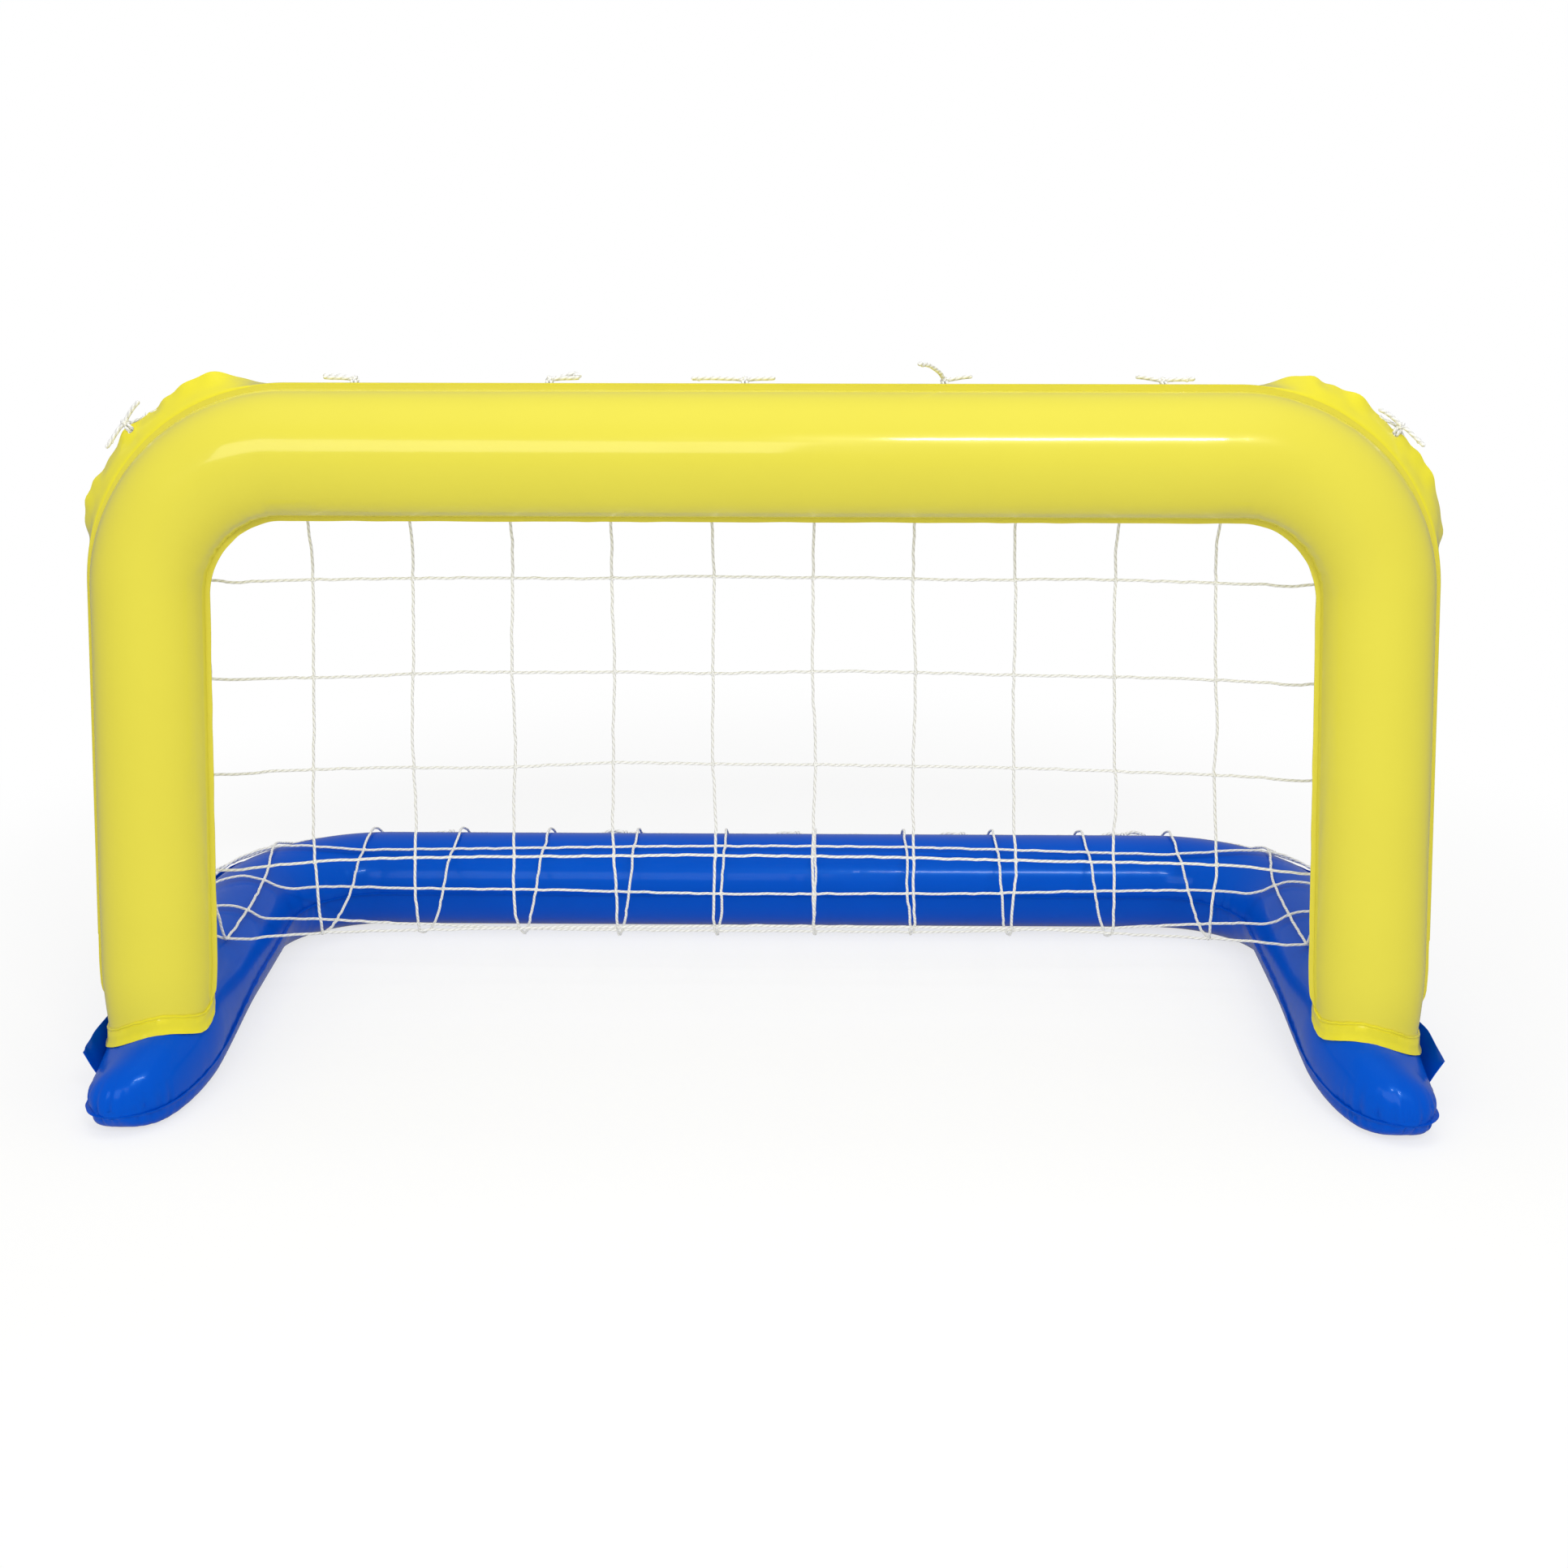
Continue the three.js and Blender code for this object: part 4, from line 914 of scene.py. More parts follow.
@dataclass(frozen=True)
class TubeSection:
    """The float's section at one place, about the tube's middle line."""

    width: float
    crest: float
    keel: float
    seam: float
    skew: float
    fullness: float

    @property
    def middle(self) -> float:
        """The height half way between the top and the bottom."""
        return (self.crest + self.keel) / 2

    @property
    def rise(self) -> float:
        """Half the height from the bottom to the top."""
        return (self.crest - self.keel) / 2


@dataclass
class FloatBase(Tube):
    """The U-shaped float: a top and a bottom sheet that close round each foot like a pillow."""

    half_steps: int = 40
    spacing: float = 0.006
    tip_rings: int = 30
    tip_end: float = 0.0004
    pucker_length: float = 0.016
    pucker_depth: float = 0.0024
    pucker_reach: float = 0.022
    outer_reach_share: float = 0.7
    outer_puckers: tuple[float, float, float] = (0.16, 0.3, 0.25)
    inner_puckers: tuple[float, float, float] = (0.28, 0.9, 0.25)
    foot_puckers: tuple[float, float] = (0.02, 0.16)
    bend_stretch: float = 0.4
    least_span: float = 0.01
    weld_fade: float = 0.004
    weld_least: float = 0.3
    rim_waver: float = 0.0006
    rim_length: float = 0.04
    fold_depth: float = 0.0034
    fold_length: float = 0.0125
    fold_radius: float = 0.062
    fold_from: float = 0.4
    fold_turn: float = 1.2
    fold_skew: float = 0.4
    fold_seam_place: float = 0.02
    fold_reach: tuple[float, float] = (0.026, 0.016)
    fold_power: float = 1.5
    fold_weld: tuple[float, float] = (0.0006, 0.004)
    fold_start: float = 0.035
    tip_sheet: float = 0.0008
    tip_width_share: float = 0.12
    blunt_share: float = 0.75
    slope_start_share: float = 0.2
    keel_power: float = 0.8
    underside_power: float = 0.6
    seam_edge_share: float = 0.9
    saddle_edge_share: float = 0.995
    floor_start: float = 0.01
    foot_slant: float = 0.020
    foot_slant_length: float = 0.26
    inner_weld_share: float = 0.6

    def __post_init__(self) -> None:
        """Works out the middle line."""
        s = self.sizes
        self.path = UPath(s.arm_spacing / 2, s.rear_tube_depth, s.base_bend_radius)
        self.leg_length = s.rear_tube_depth - s.base_bend_radius + s.foot_reach
        self.half_length = self.path.straight + self.path.bend_length() + self.leg_length

    def place(self, distance: float, across: np.ndarray, square: np.ndarray,
              offset: float = 0.0) -> np.ndarray:
        """Places a section's points in the part's frame.

        Args:
            distance: Distance along the U.
            across: How far each point lies outward in the U's plane.
            square: How far each point lies above the tube's middle.
            offset: Where the distance is measured.

        Returns:
            The points.
        """
        point, outward, _, _ = self.path.locate(distance, offset)
        across, square = np.broadcast_arrays(np.asarray(across, float), np.asarray(square, float))
        flat = point + across[..., None] * outward
        height = self.sizes.base_axis_height + square
        return np.stack([flat[..., 0], self.plane + flat[..., 1], height], axis=-1)

    def size_at(self, to_tip: float) -> TubeSection:
        """Gives the section at a distance from a foot's tip.

        Args:
            to_tip: The distance, in metres.

        Returns:
            The section.
        """
        s = self.sizes
        drop = 1 - float(smoothstep(to_tip, 0, s.seam_drop_length))
        seam = (s.foot_seam_height - s.base_axis_height) * drop
        share = min(max(to_tip / s.foot_slope_length, 0.0), 1.0)
        front = min(max(to_tip / s.foot_front_rounding, 0.0), 1.0)
        slope = float(smoothstep(share, self.slope_start_share, 1.0))
        top = lerp(s.foot_front_height - s.base_axis_height, s.base_radius, slope)
        tip = 1 - math.exp(-max(to_tip, 0.0) / s.foot_tip_rounding)
        plan = lerp(float(smoothstep(share, 0, 1)), tip, self.blunt_share)
        return TubeSection(
            width=s.base_radius * lerp(self.tip_width_share, 1, plan),
            crest=lerp(seam + self.tip_sheet, top, math.sqrt(1 - (1 - front) ** 2)),
            keel=lerp(seam - self.tip_sheet, -s.base_radius, tip**self.keel_power),
            seam=seam,
            skew=s.foot_skew * (1 - share) ** 2,
            fullness=lerp(1.0, self.underside_power, drop),
        )

    def radius_at(self, _: float) -> float:
        """The tube's radius, away from its feet."""
        return self.sizes.base_radius

    def edge_at(self, to_tip: float) -> tuple[float, float]:
        """Gives how far out the seam lies and its height, at a distance from the tip."""
        size = self.size_at(to_tip)
        lift = (size.seam - size.middle) / size.rise
        lift = max(-self.seam_edge_share, min(self.seam_edge_share, lift))
        return size.width * math.cos(math.asin(lift)) + size.skew, size.seam

    def slant_at(self, to_tip: float) -> float:
        """Gives how far the back of a foot slants up to its inner side."""
        start = float(smoothstep(to_tip, 0, self.sizes.foot_front_rounding))
        return self.foot_slant * start * (1 - float(smoothstep(to_tip, self.foot_slant_length / 2,
                                                               self.foot_slant_length)))

    def top_at(self, point: np.ndarray) -> float:
        """Gives the height of an arm's back above or below a point."""
        s = self.sizes
        to_tip = point[1] - self.plane + s.foot_reach
        size = self.size_at(to_tip)
        across = (abs(point[0]) - s.arm_spacing / 2 - size.skew) / size.width
        across = max(-self.saddle_edge_share, min(self.saddle_edge_share, across))
        rise = math.sqrt(1 - across**2)
        slant = self.slant_at(to_tip) * across * rise
        return s.base_axis_height + size.middle + size.rise * rise - slant

    def section(self, distance: float, half: Half) -> np.ndarray:
        """Draws one ring of a sheet.

        Args:
            distance: Distance along the U.
            half: Which sheet it is.

        Returns:
            Pairs of outward and square offsets.
        """
        s, side = self.sizes, half.value
        to_tip = self.half_length - abs(distance)
        size = self.size_at(to_tip)
        inner = size.seam + side * s.gap / 2
        outer = inner + side * s.sheet_thickness
        limit = self.seam_edge_share
        start = math.asin(max(-limit, min(limit, (outer - size.middle) / size.rise))) * side
        edge = size.width * math.cos(start)
        if half is Half.FIRST:
            start = self.floor_start
        angles = np.linspace(start, math.pi - start, self.half_steps + 1)
        if half is Half.FIRST:
            turn = np.cos(angles)
            across = edge * np.sign(turn) * np.abs(turn) ** size.fullness
            height = outer + (size.keel - outer) * np.sin(angles) ** size.fullness
        else:
            across, height = size.width * np.cos(angles), size.middle + size.rise * np.sin(angles)
            height = height - self.slant_at(to_tip) * np.cos(angles) * np.sin(angles)
        span = (size.width + size.rise) / 2
        depth = self._puckers(distance, side, span, angles - start, math.pi - start - angles)
        scale = 1 - depth / max(span, self.least_span)
        height = size.middle + (height - size.middle) * scale
        flange = s.weld_width * min(1.0, to_tip / self.weld_fade + self.weld_least)
        waver = self.rim_waver * float(ripple(distance, self.rim_length, 2.5))
        inner_flange = flange * self.inner_weld_share
        rim, inner_rim = edge + flange + waver, edge + inner_flange - waver
        head = [(rim, inner), (rim, outer), (edge + flange / 2, outer)]
        tail = [(-edge - inner_flange / 2, outer), (-inner_rim, outer), (-inner_rim, inner)]
        ring = np.vstack([head, np.stack([across * scale, height], 1), tail])
        ring[:, 0] += size.skew
        ring[:, 1] = np.maximum(ring[:, 1], -s.base_axis_height)
        return ring

    def _puckers(self, distance: float, side: int, span: float, from_outer: np.ndarray,
                 from_inner: np.ndarray) -> np.ndarray:
        """Gives how deep the two welds draw the sheet in.

        Args:
            distance: Distance along the U.
            side: -1 on the lower sheet, 1 on the upper one.
            span: About half the section's width.
            from_outer: The angle from the outer weld.
            from_inner: The angle from the inner weld.

        Returns:
            The depth at each point.
        """
        _, _, bend_share, _ = self.path.locate(distance)
        in_bend = bend_share * (1 - bend_share) * 4
        foot = 1 - float(smoothstep(self.half_length - abs(distance), *self.foot_puckers))
        depth = 0.0
        for (calm, bent, tip), stretch, seed, angle, reach in (
            (self.outer_puckers, 0.0, 6, from_outer, self.outer_reach_share),
            (self.inner_puckers, self.bend_stretch, 9, from_inner, 1.0),
        ):
            folds = pinch(distance * (1 - stretch * in_bend), self.pucker_length, seed + side)
            seam = np.exp(-angle * span / (self.pucker_reach * reach))
            depth = depth + self.pucker_depth * (calm + bent * in_bend + tip * foot) * folds * seam
        return depth

    def stops(self) -> np.ndarray:
        """Gives the distances of the rings, closer together round each foot's end."""
        rounding = self.sizes.foot_front_rounding
        body = self.half_length - rounding
        even = np.linspace(0, body, int(body / self.spacing))
        turned = np.linspace(0, math.pi / 2, self.tip_rings)[1:]
        right = np.concatenate([even, body + (rounding - self.tip_end) * np.sin(turned)])
        return np.concatenate([-right[:0:-1], right])

    def build(self, valve: "Valve") -> None:
        """Builds and dresses both sheets, the lower one with its valve."""
        for name, half in (("base_top_panel", Half.SECOND), ("base_bottom_panel", Half.FIRST)):
            rings = []
            for distance in self.stops():
                ring = self.section(distance, half)
                rings.append(self.place(distance, ring[:, 0], ring[:, 1]))
            rings = self._fold_feet(np.array(rings), half)
            below = half is Half.FIRST
            self.sheet(name, rings[::-1] if below else rings, self.finishes.blue_sheet, "vinyl_blue",
                       valve if below else None)

    def _fold_feet(self, rings: np.ndarray, half: Half) -> np.ndarray:
        """Draws folds in from the weld round each foot's end.

        Args:
            rings: The sheet's rings.
            half: Which sheet it is.

        Returns:
            The rings with their folds.
        """
        s = self.sizes
        points = rings.reshape(-1, 3)
        turn_y = self.plane - s.foot_reach + s.foot_front_rounding * self.fold_turn
        above_reach, below_reach = self.fold_reach
        reach = above_reach if half is Half.SECOND else below_reach
        seam = s.base_axis_height + self.size_at(self.fold_seam_place).seam
        for side in Side:
            axis = side.value * (s.arm_spacing / 2 + s.foot_skew * self.fold_skew)
            near = (points[:, 0] * side.value > self.fold_from) & (points[:, 1] < turn_y)
            offset = points[near] - np.array([axis, turn_y, 0])
            angle = np.arctan2(offset[:, 0], -offset[:, 1])
            above = np.abs(points[near][:, 2] - seam)
            fade = np.exp(-((above / reach) ** self.fold_power)) * smoothstep(above, *self.fold_weld)
            start = smoothstep(-offset[:, 1], 0.0, self.fold_start)
            folds = pinch(angle * self.fold_radius, self.fold_length, 3.0 + half.value + side.value)
            depth = self.fold_depth * folds * fade * start
            points[near] -= unit(offset * np.array([1, 1, 0])) * depth[:, None]
        return points.reshape(rings.shape)


def dress(piece: bpy.types.Object, body: str, node: str) -> bpy.types.Object:
    """Ties a piece to the frame.

    Args:
        piece: The piece.
        body: The body that it moves with.
        node: The solid that it stands for.

    Returns:
        The same piece.
    """
    piece.name = piece.name if piece.name.startswith("soft_") else f"soft_{node}"
    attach(piece, body)
    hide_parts(node)
    return piece


@dataclass(frozen=True)
class Hole:
    """A hole that a tie or a valve passes through."""

    centre: np.ndarray
    normal: np.ndarray


@dataclass
class NetStrip:
    """A strip that carries the net: its root lies on a tube's weld and its free part stands off it."""

    tube: Tube
    width: float
    tube_side: float
    end_gap: float
    root_lap: float = 0.0036
    bend_room: float = 0.0015
    spacing: float = 0.004
    sharp_from: float = 60.0
    root_shares: tuple[float, ...] = (0.0, 0.5, 0.85)
    bend_share: float = 0.1
    free_shares: tuple[float, ...] = (0.35, 0.7, 1.0)
    holes: list[Hole] = field(default_factory=list)

    @property
    def offset(self) -> float:
        """How far outside the middle line distances on the strip are measured."""
        return self.tube_side + self.tube.sizes.weld_width

    @property
    def half_length(self) -> float:
        """Half the strip's length."""
        path = self.tube.path
        return path.straight + path.bend_length(self.offset) + self.tube.leg_length - self.end_gap

    def line(self, distance: float, ruffled: bool = True) -> list[np.ndarray]:
        """Gives the strip's root, bend, middle and edge at a place.

        Args:
            distance: Distance along the strip.
            ruffled: Whether the small waves are counted.

        Returns:
            Four pairs of outward and square offsets.
        """
        raise NotImplementedError

    def section(self, edge: float, seam: float, lean: float, curl: float) -> list[np.ndarray]:
        """Draws the strip's section.

        Args:
            edge: Where the tube's side ends.
            seam: The height of the weld.
            lean: The angle at which the strip stands.
            curl: How much it curls along its width.

        Returns:
            The root, the bend, the middle and the edge.
        """
        s = self.tube.sizes
        level = seam + s.gap / 2 + s.sheet_thickness + s.gap + s.strip_thickness / 2
        bend = np.array([edge + s.weld_width + self.bend_room, level])
        middle, tip = (
            self.width / 2 * np.array([math.cos(angle), math.sin(angle)])
            for angle in (lean - curl, lean + curl)
        )
        root = np.array([edge + s.weld_width - self.root_lap, level])
        return [root, bend, bend + middle, bend + middle + tip]

    def point(self, distance: float, reach: float, ruffled: bool = True,
              behind: float = 0.0) -> np.ndarray:
        """Gives a point on the strip, past its edge or behind it.

        Args:
            distance: Distance along the strip.
            reach: How far from its bend, along its width.
            ruffled: Whether the small waves are counted.
            behind: How far behind the strip.

        Returns:
            The point.
        """
        _, bend, middle, tip = self.line(distance, ruffled)
        half = float(np.linalg.norm(tip - middle))
        found = bend + (middle - bend) * (reach / half) if reach < half \
            else middle + (tip - middle) * (reach / half - 1)
        way = unit(tip - bend)
        return self.tube.place(distance, found[0] - behind * way[1], found[1] + behind * way[0],
                               self.offset)

    def middle(self, distance: float) -> np.ndarray:
        """Gives the middle of the tube beside a place on the strip."""
        return self.tube.place(distance, 0.0, 0.0, self.offset)

    def ribbon(self, name: str, material: bpy.types.Material, slot: str) -> None:
        """Builds the strip as a thin closed ribbon, punches its holes and dresses it.

        Args:
            name: The piece's name.
            material: Its finish.
            slot: Not used.
        """
        sizes, half, rings = self.tube.sizes, self.half_length, []
        for distance in np.linspace(-half, half, 2 * int(half / self.spacing) + 1):
            root, bend, middle, tip = self.line(float(distance))
            line = [root * (1 - share) + bend * share for share in self.root_shares]
            line.append(bend * (1 - self.bend_share) + middle * self.bend_share)
            for start, end in ((bend, middle), (middle, tip)):
                line += [start + (end - start) * share for share in self.free_shares]
            line = np.array(line)
            way = unit(np.vstack([line[1:], line[-1]]) - np.vstack([line[0], line[:-1]]))
            normal = np.stack([-way[:, 1], way[:, 0]], 1) * sizes.strip_thickness / 2
            ring = np.vstack([line + normal, (line - normal)[::-1]])
            rings.append(self.tube.place(float(distance), ring[:, 0], ring[:, 1], self.offset))
        points, faces = lofted(np.array(rings))
        made = mesh_piece(name, points, faces, material, self.sharp_from)
        punch(made, self.holes, sizes.tie_hole_diameter / 2, HOLE_REACH)
        dress(made, "goal", name)
        log.info("built %s with %d holes", made.name, len(self.holes))


@dataclass
class FrameStrip(NetStrip):
    """The yellow strip behind the frame: flat on the straights, standing and ruffled at the corners."""

    lean: float = math.radians(92)
    standing_lean: float = math.radians(52)
    waves: float = 4
    wave_lean: float = math.radians(5)
    curl: float = math.radians(7)
    turn_shift: float = 0.5
    wander: tuple[float, float] = (0.8, 2.3)
    pleats: float = 13
    pleat_share: float = 0.35
    pleat_wander: float = 3.1
    rise: tuple[float, float] = (0.05, 0.24)
    fall: tuple[float, float] = (0.7, 1.0)

    def line(self, distance: float, ruffled: bool = True) -> list[np.ndarray]:
        """Gives the root, bend, middle and edge, on a tube that narrows round the bend."""
        s = self.tube.sizes
        _, _, share, _ = self.tube.path.locate(distance, self.offset)
        stand = self.stand_at(distance)
        wave = 0.0
        if ruffled:
            turn = 2 * math.pi * share + math.copysign(self.turn_shift, distance)
            height, pace = self.wander
            wave = math.sin(self.waves * turn + height * math.sin(pace * turn))
            pleat = math.sin(self.pleats * turn + math.sin(self.pleat_wander * turn))
            wave = (wave + self.pleat_share * pleat) * stand
        lean = lerp(self.lean, self.standing_lean, stand) + self.wave_lean * wave
        return self.section(lerp(s.crossbar_radius, s.post_radius, share), 0.0, lean, self.curl * wave)

    def stand_at(self, distance: float) -> float:
        """Gives how far the strip stands up at a place, from 0 to 1."""
        _, _, share, _ = self.tube.path.locate(distance, self.offset)
        return float(smoothstep(share, *self.rise) * (1 - smoothstep(share, *self.fall)))

    def build(self) -> None:
        """Builds and dresses the strip."""
        self.ribbon("frame_net_strip", self.tube.finishes.yellow_strip, "strip_yellow")


@dataclass
class BaseStrip(NetStrip):
    """The blue strip round the base, which ends in a tab beside each foot."""

    lean: float = math.radians(96)
    tab_lean: float = math.radians(62)
    tab_length: float = 0.105
    wave_length: float = 0.055
    wave_lean: float = math.radians(2.5)
    curl: float = math.radians(3)

    def line(self, distance: float, ruffled: bool = True) -> list[np.ndarray]:
        """Gives the root, bend, middle and edge, on a seam that drops towards the foot."""
        from_end = self.half_length - abs(distance)
        edge, seam = self.tube.edge_at(from_end + self.end_gap)
        flat = float(smoothstep(from_end, self.tab_length / 3, self.tab_length))
        wave = float(ripple(distance, self.wave_length, 8.0)) if ruffled else 0.0
        lean = lerp(self.tab_lean, self.lean, flat) + self.wave_lean * wave
        return self.section(edge, seam, lean, self.curl * wave)

    def build(self) -> None:
        """Builds and dresses the strip."""
        self.ribbon("base_net_strip", self.tube.finishes.blue_sheet, "vinyl_blue")


def punch(piece: bpy.types.Object, holes: list[Hole], radius: float, depth: float) -> None:
    """Punches round holes into a piece.

    Args:
        piece: The piece.
        holes: Where the holes are.
        radius: Their radius in metres.
        depth: How far they go in.
    """
    sides = HOLE_SIDES
    rings, faces = [], []
    for index, hole in enumerate(holes):
        side = unit(np.cross(hole.normal, ASKEW))
        circle = radius * ways_round(side, np.cross(hole.normal, side), sides)
        for reach in (-depth, HOLE_REACH):
            rings.append(hole.centre + circle + reach * hole.normal)
        low = index * 2 * sides
        faces.append(tuple(low + i for i in reversed(range(sides))))
        faces.append(tuple(low + sides + i for i in range(sides)))
        faces += [(low + i, low + (i + 1) % sides, low + sides + (i + 1) % sides, low + sides + i)
                  for i in range(sides)]
    mesh = bpy.data.meshes.new("punch")
    mesh.from_pydata(np.vstack(rings).tolist(), [], faces)
    tool = link_object("punch", mesh)
    step = piece.modifiers.new("holes", "BOOLEAN")
    step.operation, step.object, step.solver = "DIFFERENCE", tool, "EXACT"
    bpy.context.view_layer.update()
    graph = bpy.context.evaluated_depsgraph_get()
    cut = bpy.data.meshes.new_from_object(piece.evaluated_get(graph))
    piece.modifiers.clear()
    piece.data = cut
    bpy.data.objects.remove(tool)


@dataclass
class Collar:
    """The vinyl band that welds a post's foot to the arm below it.

    Each row of the profile is a share of the band's width, of its flare and of its bead.
    """

    frame: GoalFrame
    base: FloatBase
    side: Side
    thickness: float = 0.0012
    clearance: float = 0.0004
    flare: float = 0.0022
    bead: float = 0.0007
    steps: int = 120
    sharp_from: float = 45.0
    waves: tuple[tuple[float, int, float], ...] = ((0.0004, 9, 0.0), (0.0003, 23, 1.0))
    profile: tuple[tuple[float, float, float], ...] = (
        (-0.1, 1.0, 0.0), (0.06, 0.6, 0.0), (0.2, 0.1, 0.0), (0.4, 0.0, 0.0), (0.76, 0.0, 0.0),
        (0.8, 0.0, -1.0), (0.85, 0.0, -1.0), (0.89, 0.0, 0.5), (0.97, 0.0, 0.5), (1.0, 0.0, -1.0),
    )

    def build(self) -> None:
        """Builds and dresses the band."""
        s = self.frame.sizes
        rings = []
        for step in range(self.steps):
            angle = 2 * math.pi * step / self.steps
            saddle = self.frame.saddle_height(self.base, self.side, angle)
            wave = sum(height * math.sin(count * angle + turn) for height, count, turn in self.waves)
            ring = []
            for share, flare, bead in self.profile:
                height = saddle + share * s.collar_width + wave * share
                out = self.thickness + (flare * self.flare + bead * self.bead) + abs(wave) * (1 - share)
                ring.append((height, out + self.clearance))
            ring += [(height, 0.0) for height, _ in reversed(ring)]
            rings.append([self._place(angle, height, out) for height, out in ring])
        array = np.array(rings)
        if self.side is Side.LEFT:
            array = array[::-1]
        points, faces = lofted(array, endless=True)
        name = f"{self.side.name.lower()}_post_collar"
        made = mesh_piece(name, points, faces, self.frame.finishes.yellow_strip, self.sharp_from)
        dress(made, "goal", name)
        log.info("built %s", made.name)

    def _place(self, angle: float, height: float, out: float) -> np.ndarray:
        """Places a point of the band round the post.

        Args:
            angle: The angle round the post.
            height: The point's height.
            out: How far it stands off the post.

        Returns:
            The point.
        """
        distance = self.frame.distance_at(height)
        radius = self.frame.radius_at(distance) + out
        return self.frame.place(self.side.value * distance, radius * math.cos(angle),
                                radius * math.sin(angle))


@dataclass
class GoalNet:
    """The knotted net: an even grid between the two strips, with slack above the floor.

    The middle column's places are shares of the hang's depth and the goal's height, and then of the
    rear tube's depth and the fold's height. Each drift is a height, its pace across and down, and a
    length.
    """

    frame_strip: FrameStrip
    base_strip: BaseStrip
    columns: int = 13
    rows: int = 10
    post_rows: int = 5
    row_pitch: float = 0.1085
    edge_offset: float = 0.005
    edge_tuck: float = 0.006
    edge_sag: float = 0.004
    tie_pull: float = 0.022
    hang_clearance: float = 0.015
    hang: tuple[tuple[float, float], ...] = ((1.0, 0.44), (1.12, 0.2))
    fold_height: float = 0.086
    fold: tuple[tuple[float, float], ...] = ((0.42, 1.0), (0.64, 1.02))
    rear_reach: float = 1.1
    frame_corner_share: float = 0.44
    base_corner_share: float = 0.68
    line_steps: int = 60
    line_points: int = 401
    tube_points: int = 361
    clear_tries: int = 2
    edge_guard: float = 0.001
    fall_power: float = 1.8
    pull_power: float = 5
    slack: float = 0.0022
    slack_power: float = 6
    drift: tuple[tuple[float, ...], ...] = (
        (1.0, 0.7, 0.13, 0.31), (0.6, 1.0, 0.2, 0.4), (1.0, 0.3, 0.11, 0.27)
    )
    fine: int = 6
    spacing: float = 0.006
    cord_sides: int = 7
    first_seeds: tuple[float, float] = (1.0, 40.0)
    waver: float = 0.0005
    waver_length: float = 0.047
    waver_fade: float = 0.03
    knot_size: float = 0.0034
    knot_thickness: float = 0.82
    knot_turn: tuple[float, float, float] = (0.5, 7.3, 3.7)

    def __post_init__(self) -> None:
        """Works out the four edges and the middle column."""
        frame, base = self.frame_strip.tube, self.base_strip.tube
        self.sizes = frame.sizes
        frame_bend = frame.path.bend_length(self.frame_strip.offset)
        base_bend = base.path.bend_length(self.base_strip.offset)
        self.frame_corner = frame.path.straight + frame_bend * self.frame_corner_share
        self.base_corner = base.path.straight + base_bend * self.base_corner_share
        self.post_end = self.frame_corner + self.post_rows * self.row_pitch
        s = self.sizes
        self.arm_end = (base.path.straight + base_bend + s.rear_tube_depth - s.base_bend_radius
                        - s.post_foot_radius)
        self.middle_line = self._middle_line()
        self.tubes = self._tube_samples()

    def frame_edge(self, distance: float) -> np.ndarray:
        """Gives the net's edge along the frame's strip, behind the strip where it stands up.

        Args:
            distance: Distance along the strip.

        Returns:
            The point.
        """
        strip = self.frame_strip
        corner_tie = strip.tube.path.straight + strip.tube.path.bend_length(strip.offset) / 2
        from_tie = (abs(distance) - corner_tie) / self.tie_pull
        hidden = strip.stand_at(distance) * (1 - math.exp(-(from_tie**2)))
        reach = self.sizes.frame_strip_width + lerp(self.edge_offset, -self.edge_tuck, hidden)
        behind = self.edge_sag * (1 - strip.stand_at(distance)) + self.edge_offset * hidden
        return strip.point(distance, reach, False, behind)

    def base_edge(self, distance: float) -> np.ndarray:
        """Gives the net's edge along the base's strip."""
        return self.base_strip.point(distance, self.sizes.base_strip_width + self.edge_offset, False)

    def side_edge(self, side: float, v: float) -> np.ndarray:
        """Gives a side edge: down the post, then back along the arm.

        Args:
            side: -1 on the left, 1 on the right.
            v: The row, from 0 at the crossbar.

        Returns:
            The point.
        """
        if v <= self.post_rows:
            return self.frame_edge(side * lerp(self.frame_corner, self.post_end, v / self.post_rows))
        share = max(v - self.post_rows - 1, 0) / (self.rows - self.post_rows - 1)
        arm = self.base_edge(side * lerp(self.arm_end, self.base_corner, share))
        if v >= self.post_rows + 1:
            return arm
        return lerp(self.frame_edge(side * self.post_end), arm, v - self.post_rows)

    def _middle_line(self) -> np.ndarray:
        """Draws the middle column: down behind the crossbar, a slack fold, then over the rear tube."""
        s = self.sizes
        plane = self.frame_strip.tube.plane
        depth = s.crossbar_radius + self.hang_clearance
        crown = s.goal_height - s.crossbar_radius
        drawn = [(s.crossbar_radius + s.net_cord_radius + 3 * s.gap, crown),
                 (depth, crown - 2 * s.crossbar_radius)]
        drawn += [(depth * y, s.goal_height * z) for y, z in self.hang]
        drawn += [(s.rear_tube_depth * y, self.fold_height * z) for y, z in self.fold]
        rear = s.rear_tube_depth - s.base_radius * self.rear_reach
        drawn.append((rear, s.base_top + s.net_cord_radius))
        held = [self.frame_edge(0.0), *(np.array([0.0, plane + y, z]) for y, z in drawn),
                self.base_edge(0.0)]
        line = centripetal(np.array(held), self.line_steps)
        lengths = lengths_along(line)
        even = np.linspace(0, lengths[-1], self.line_points)
        return np.stack([np.interp(even, lengths, line[:, i]) for i in range(3)], 1)

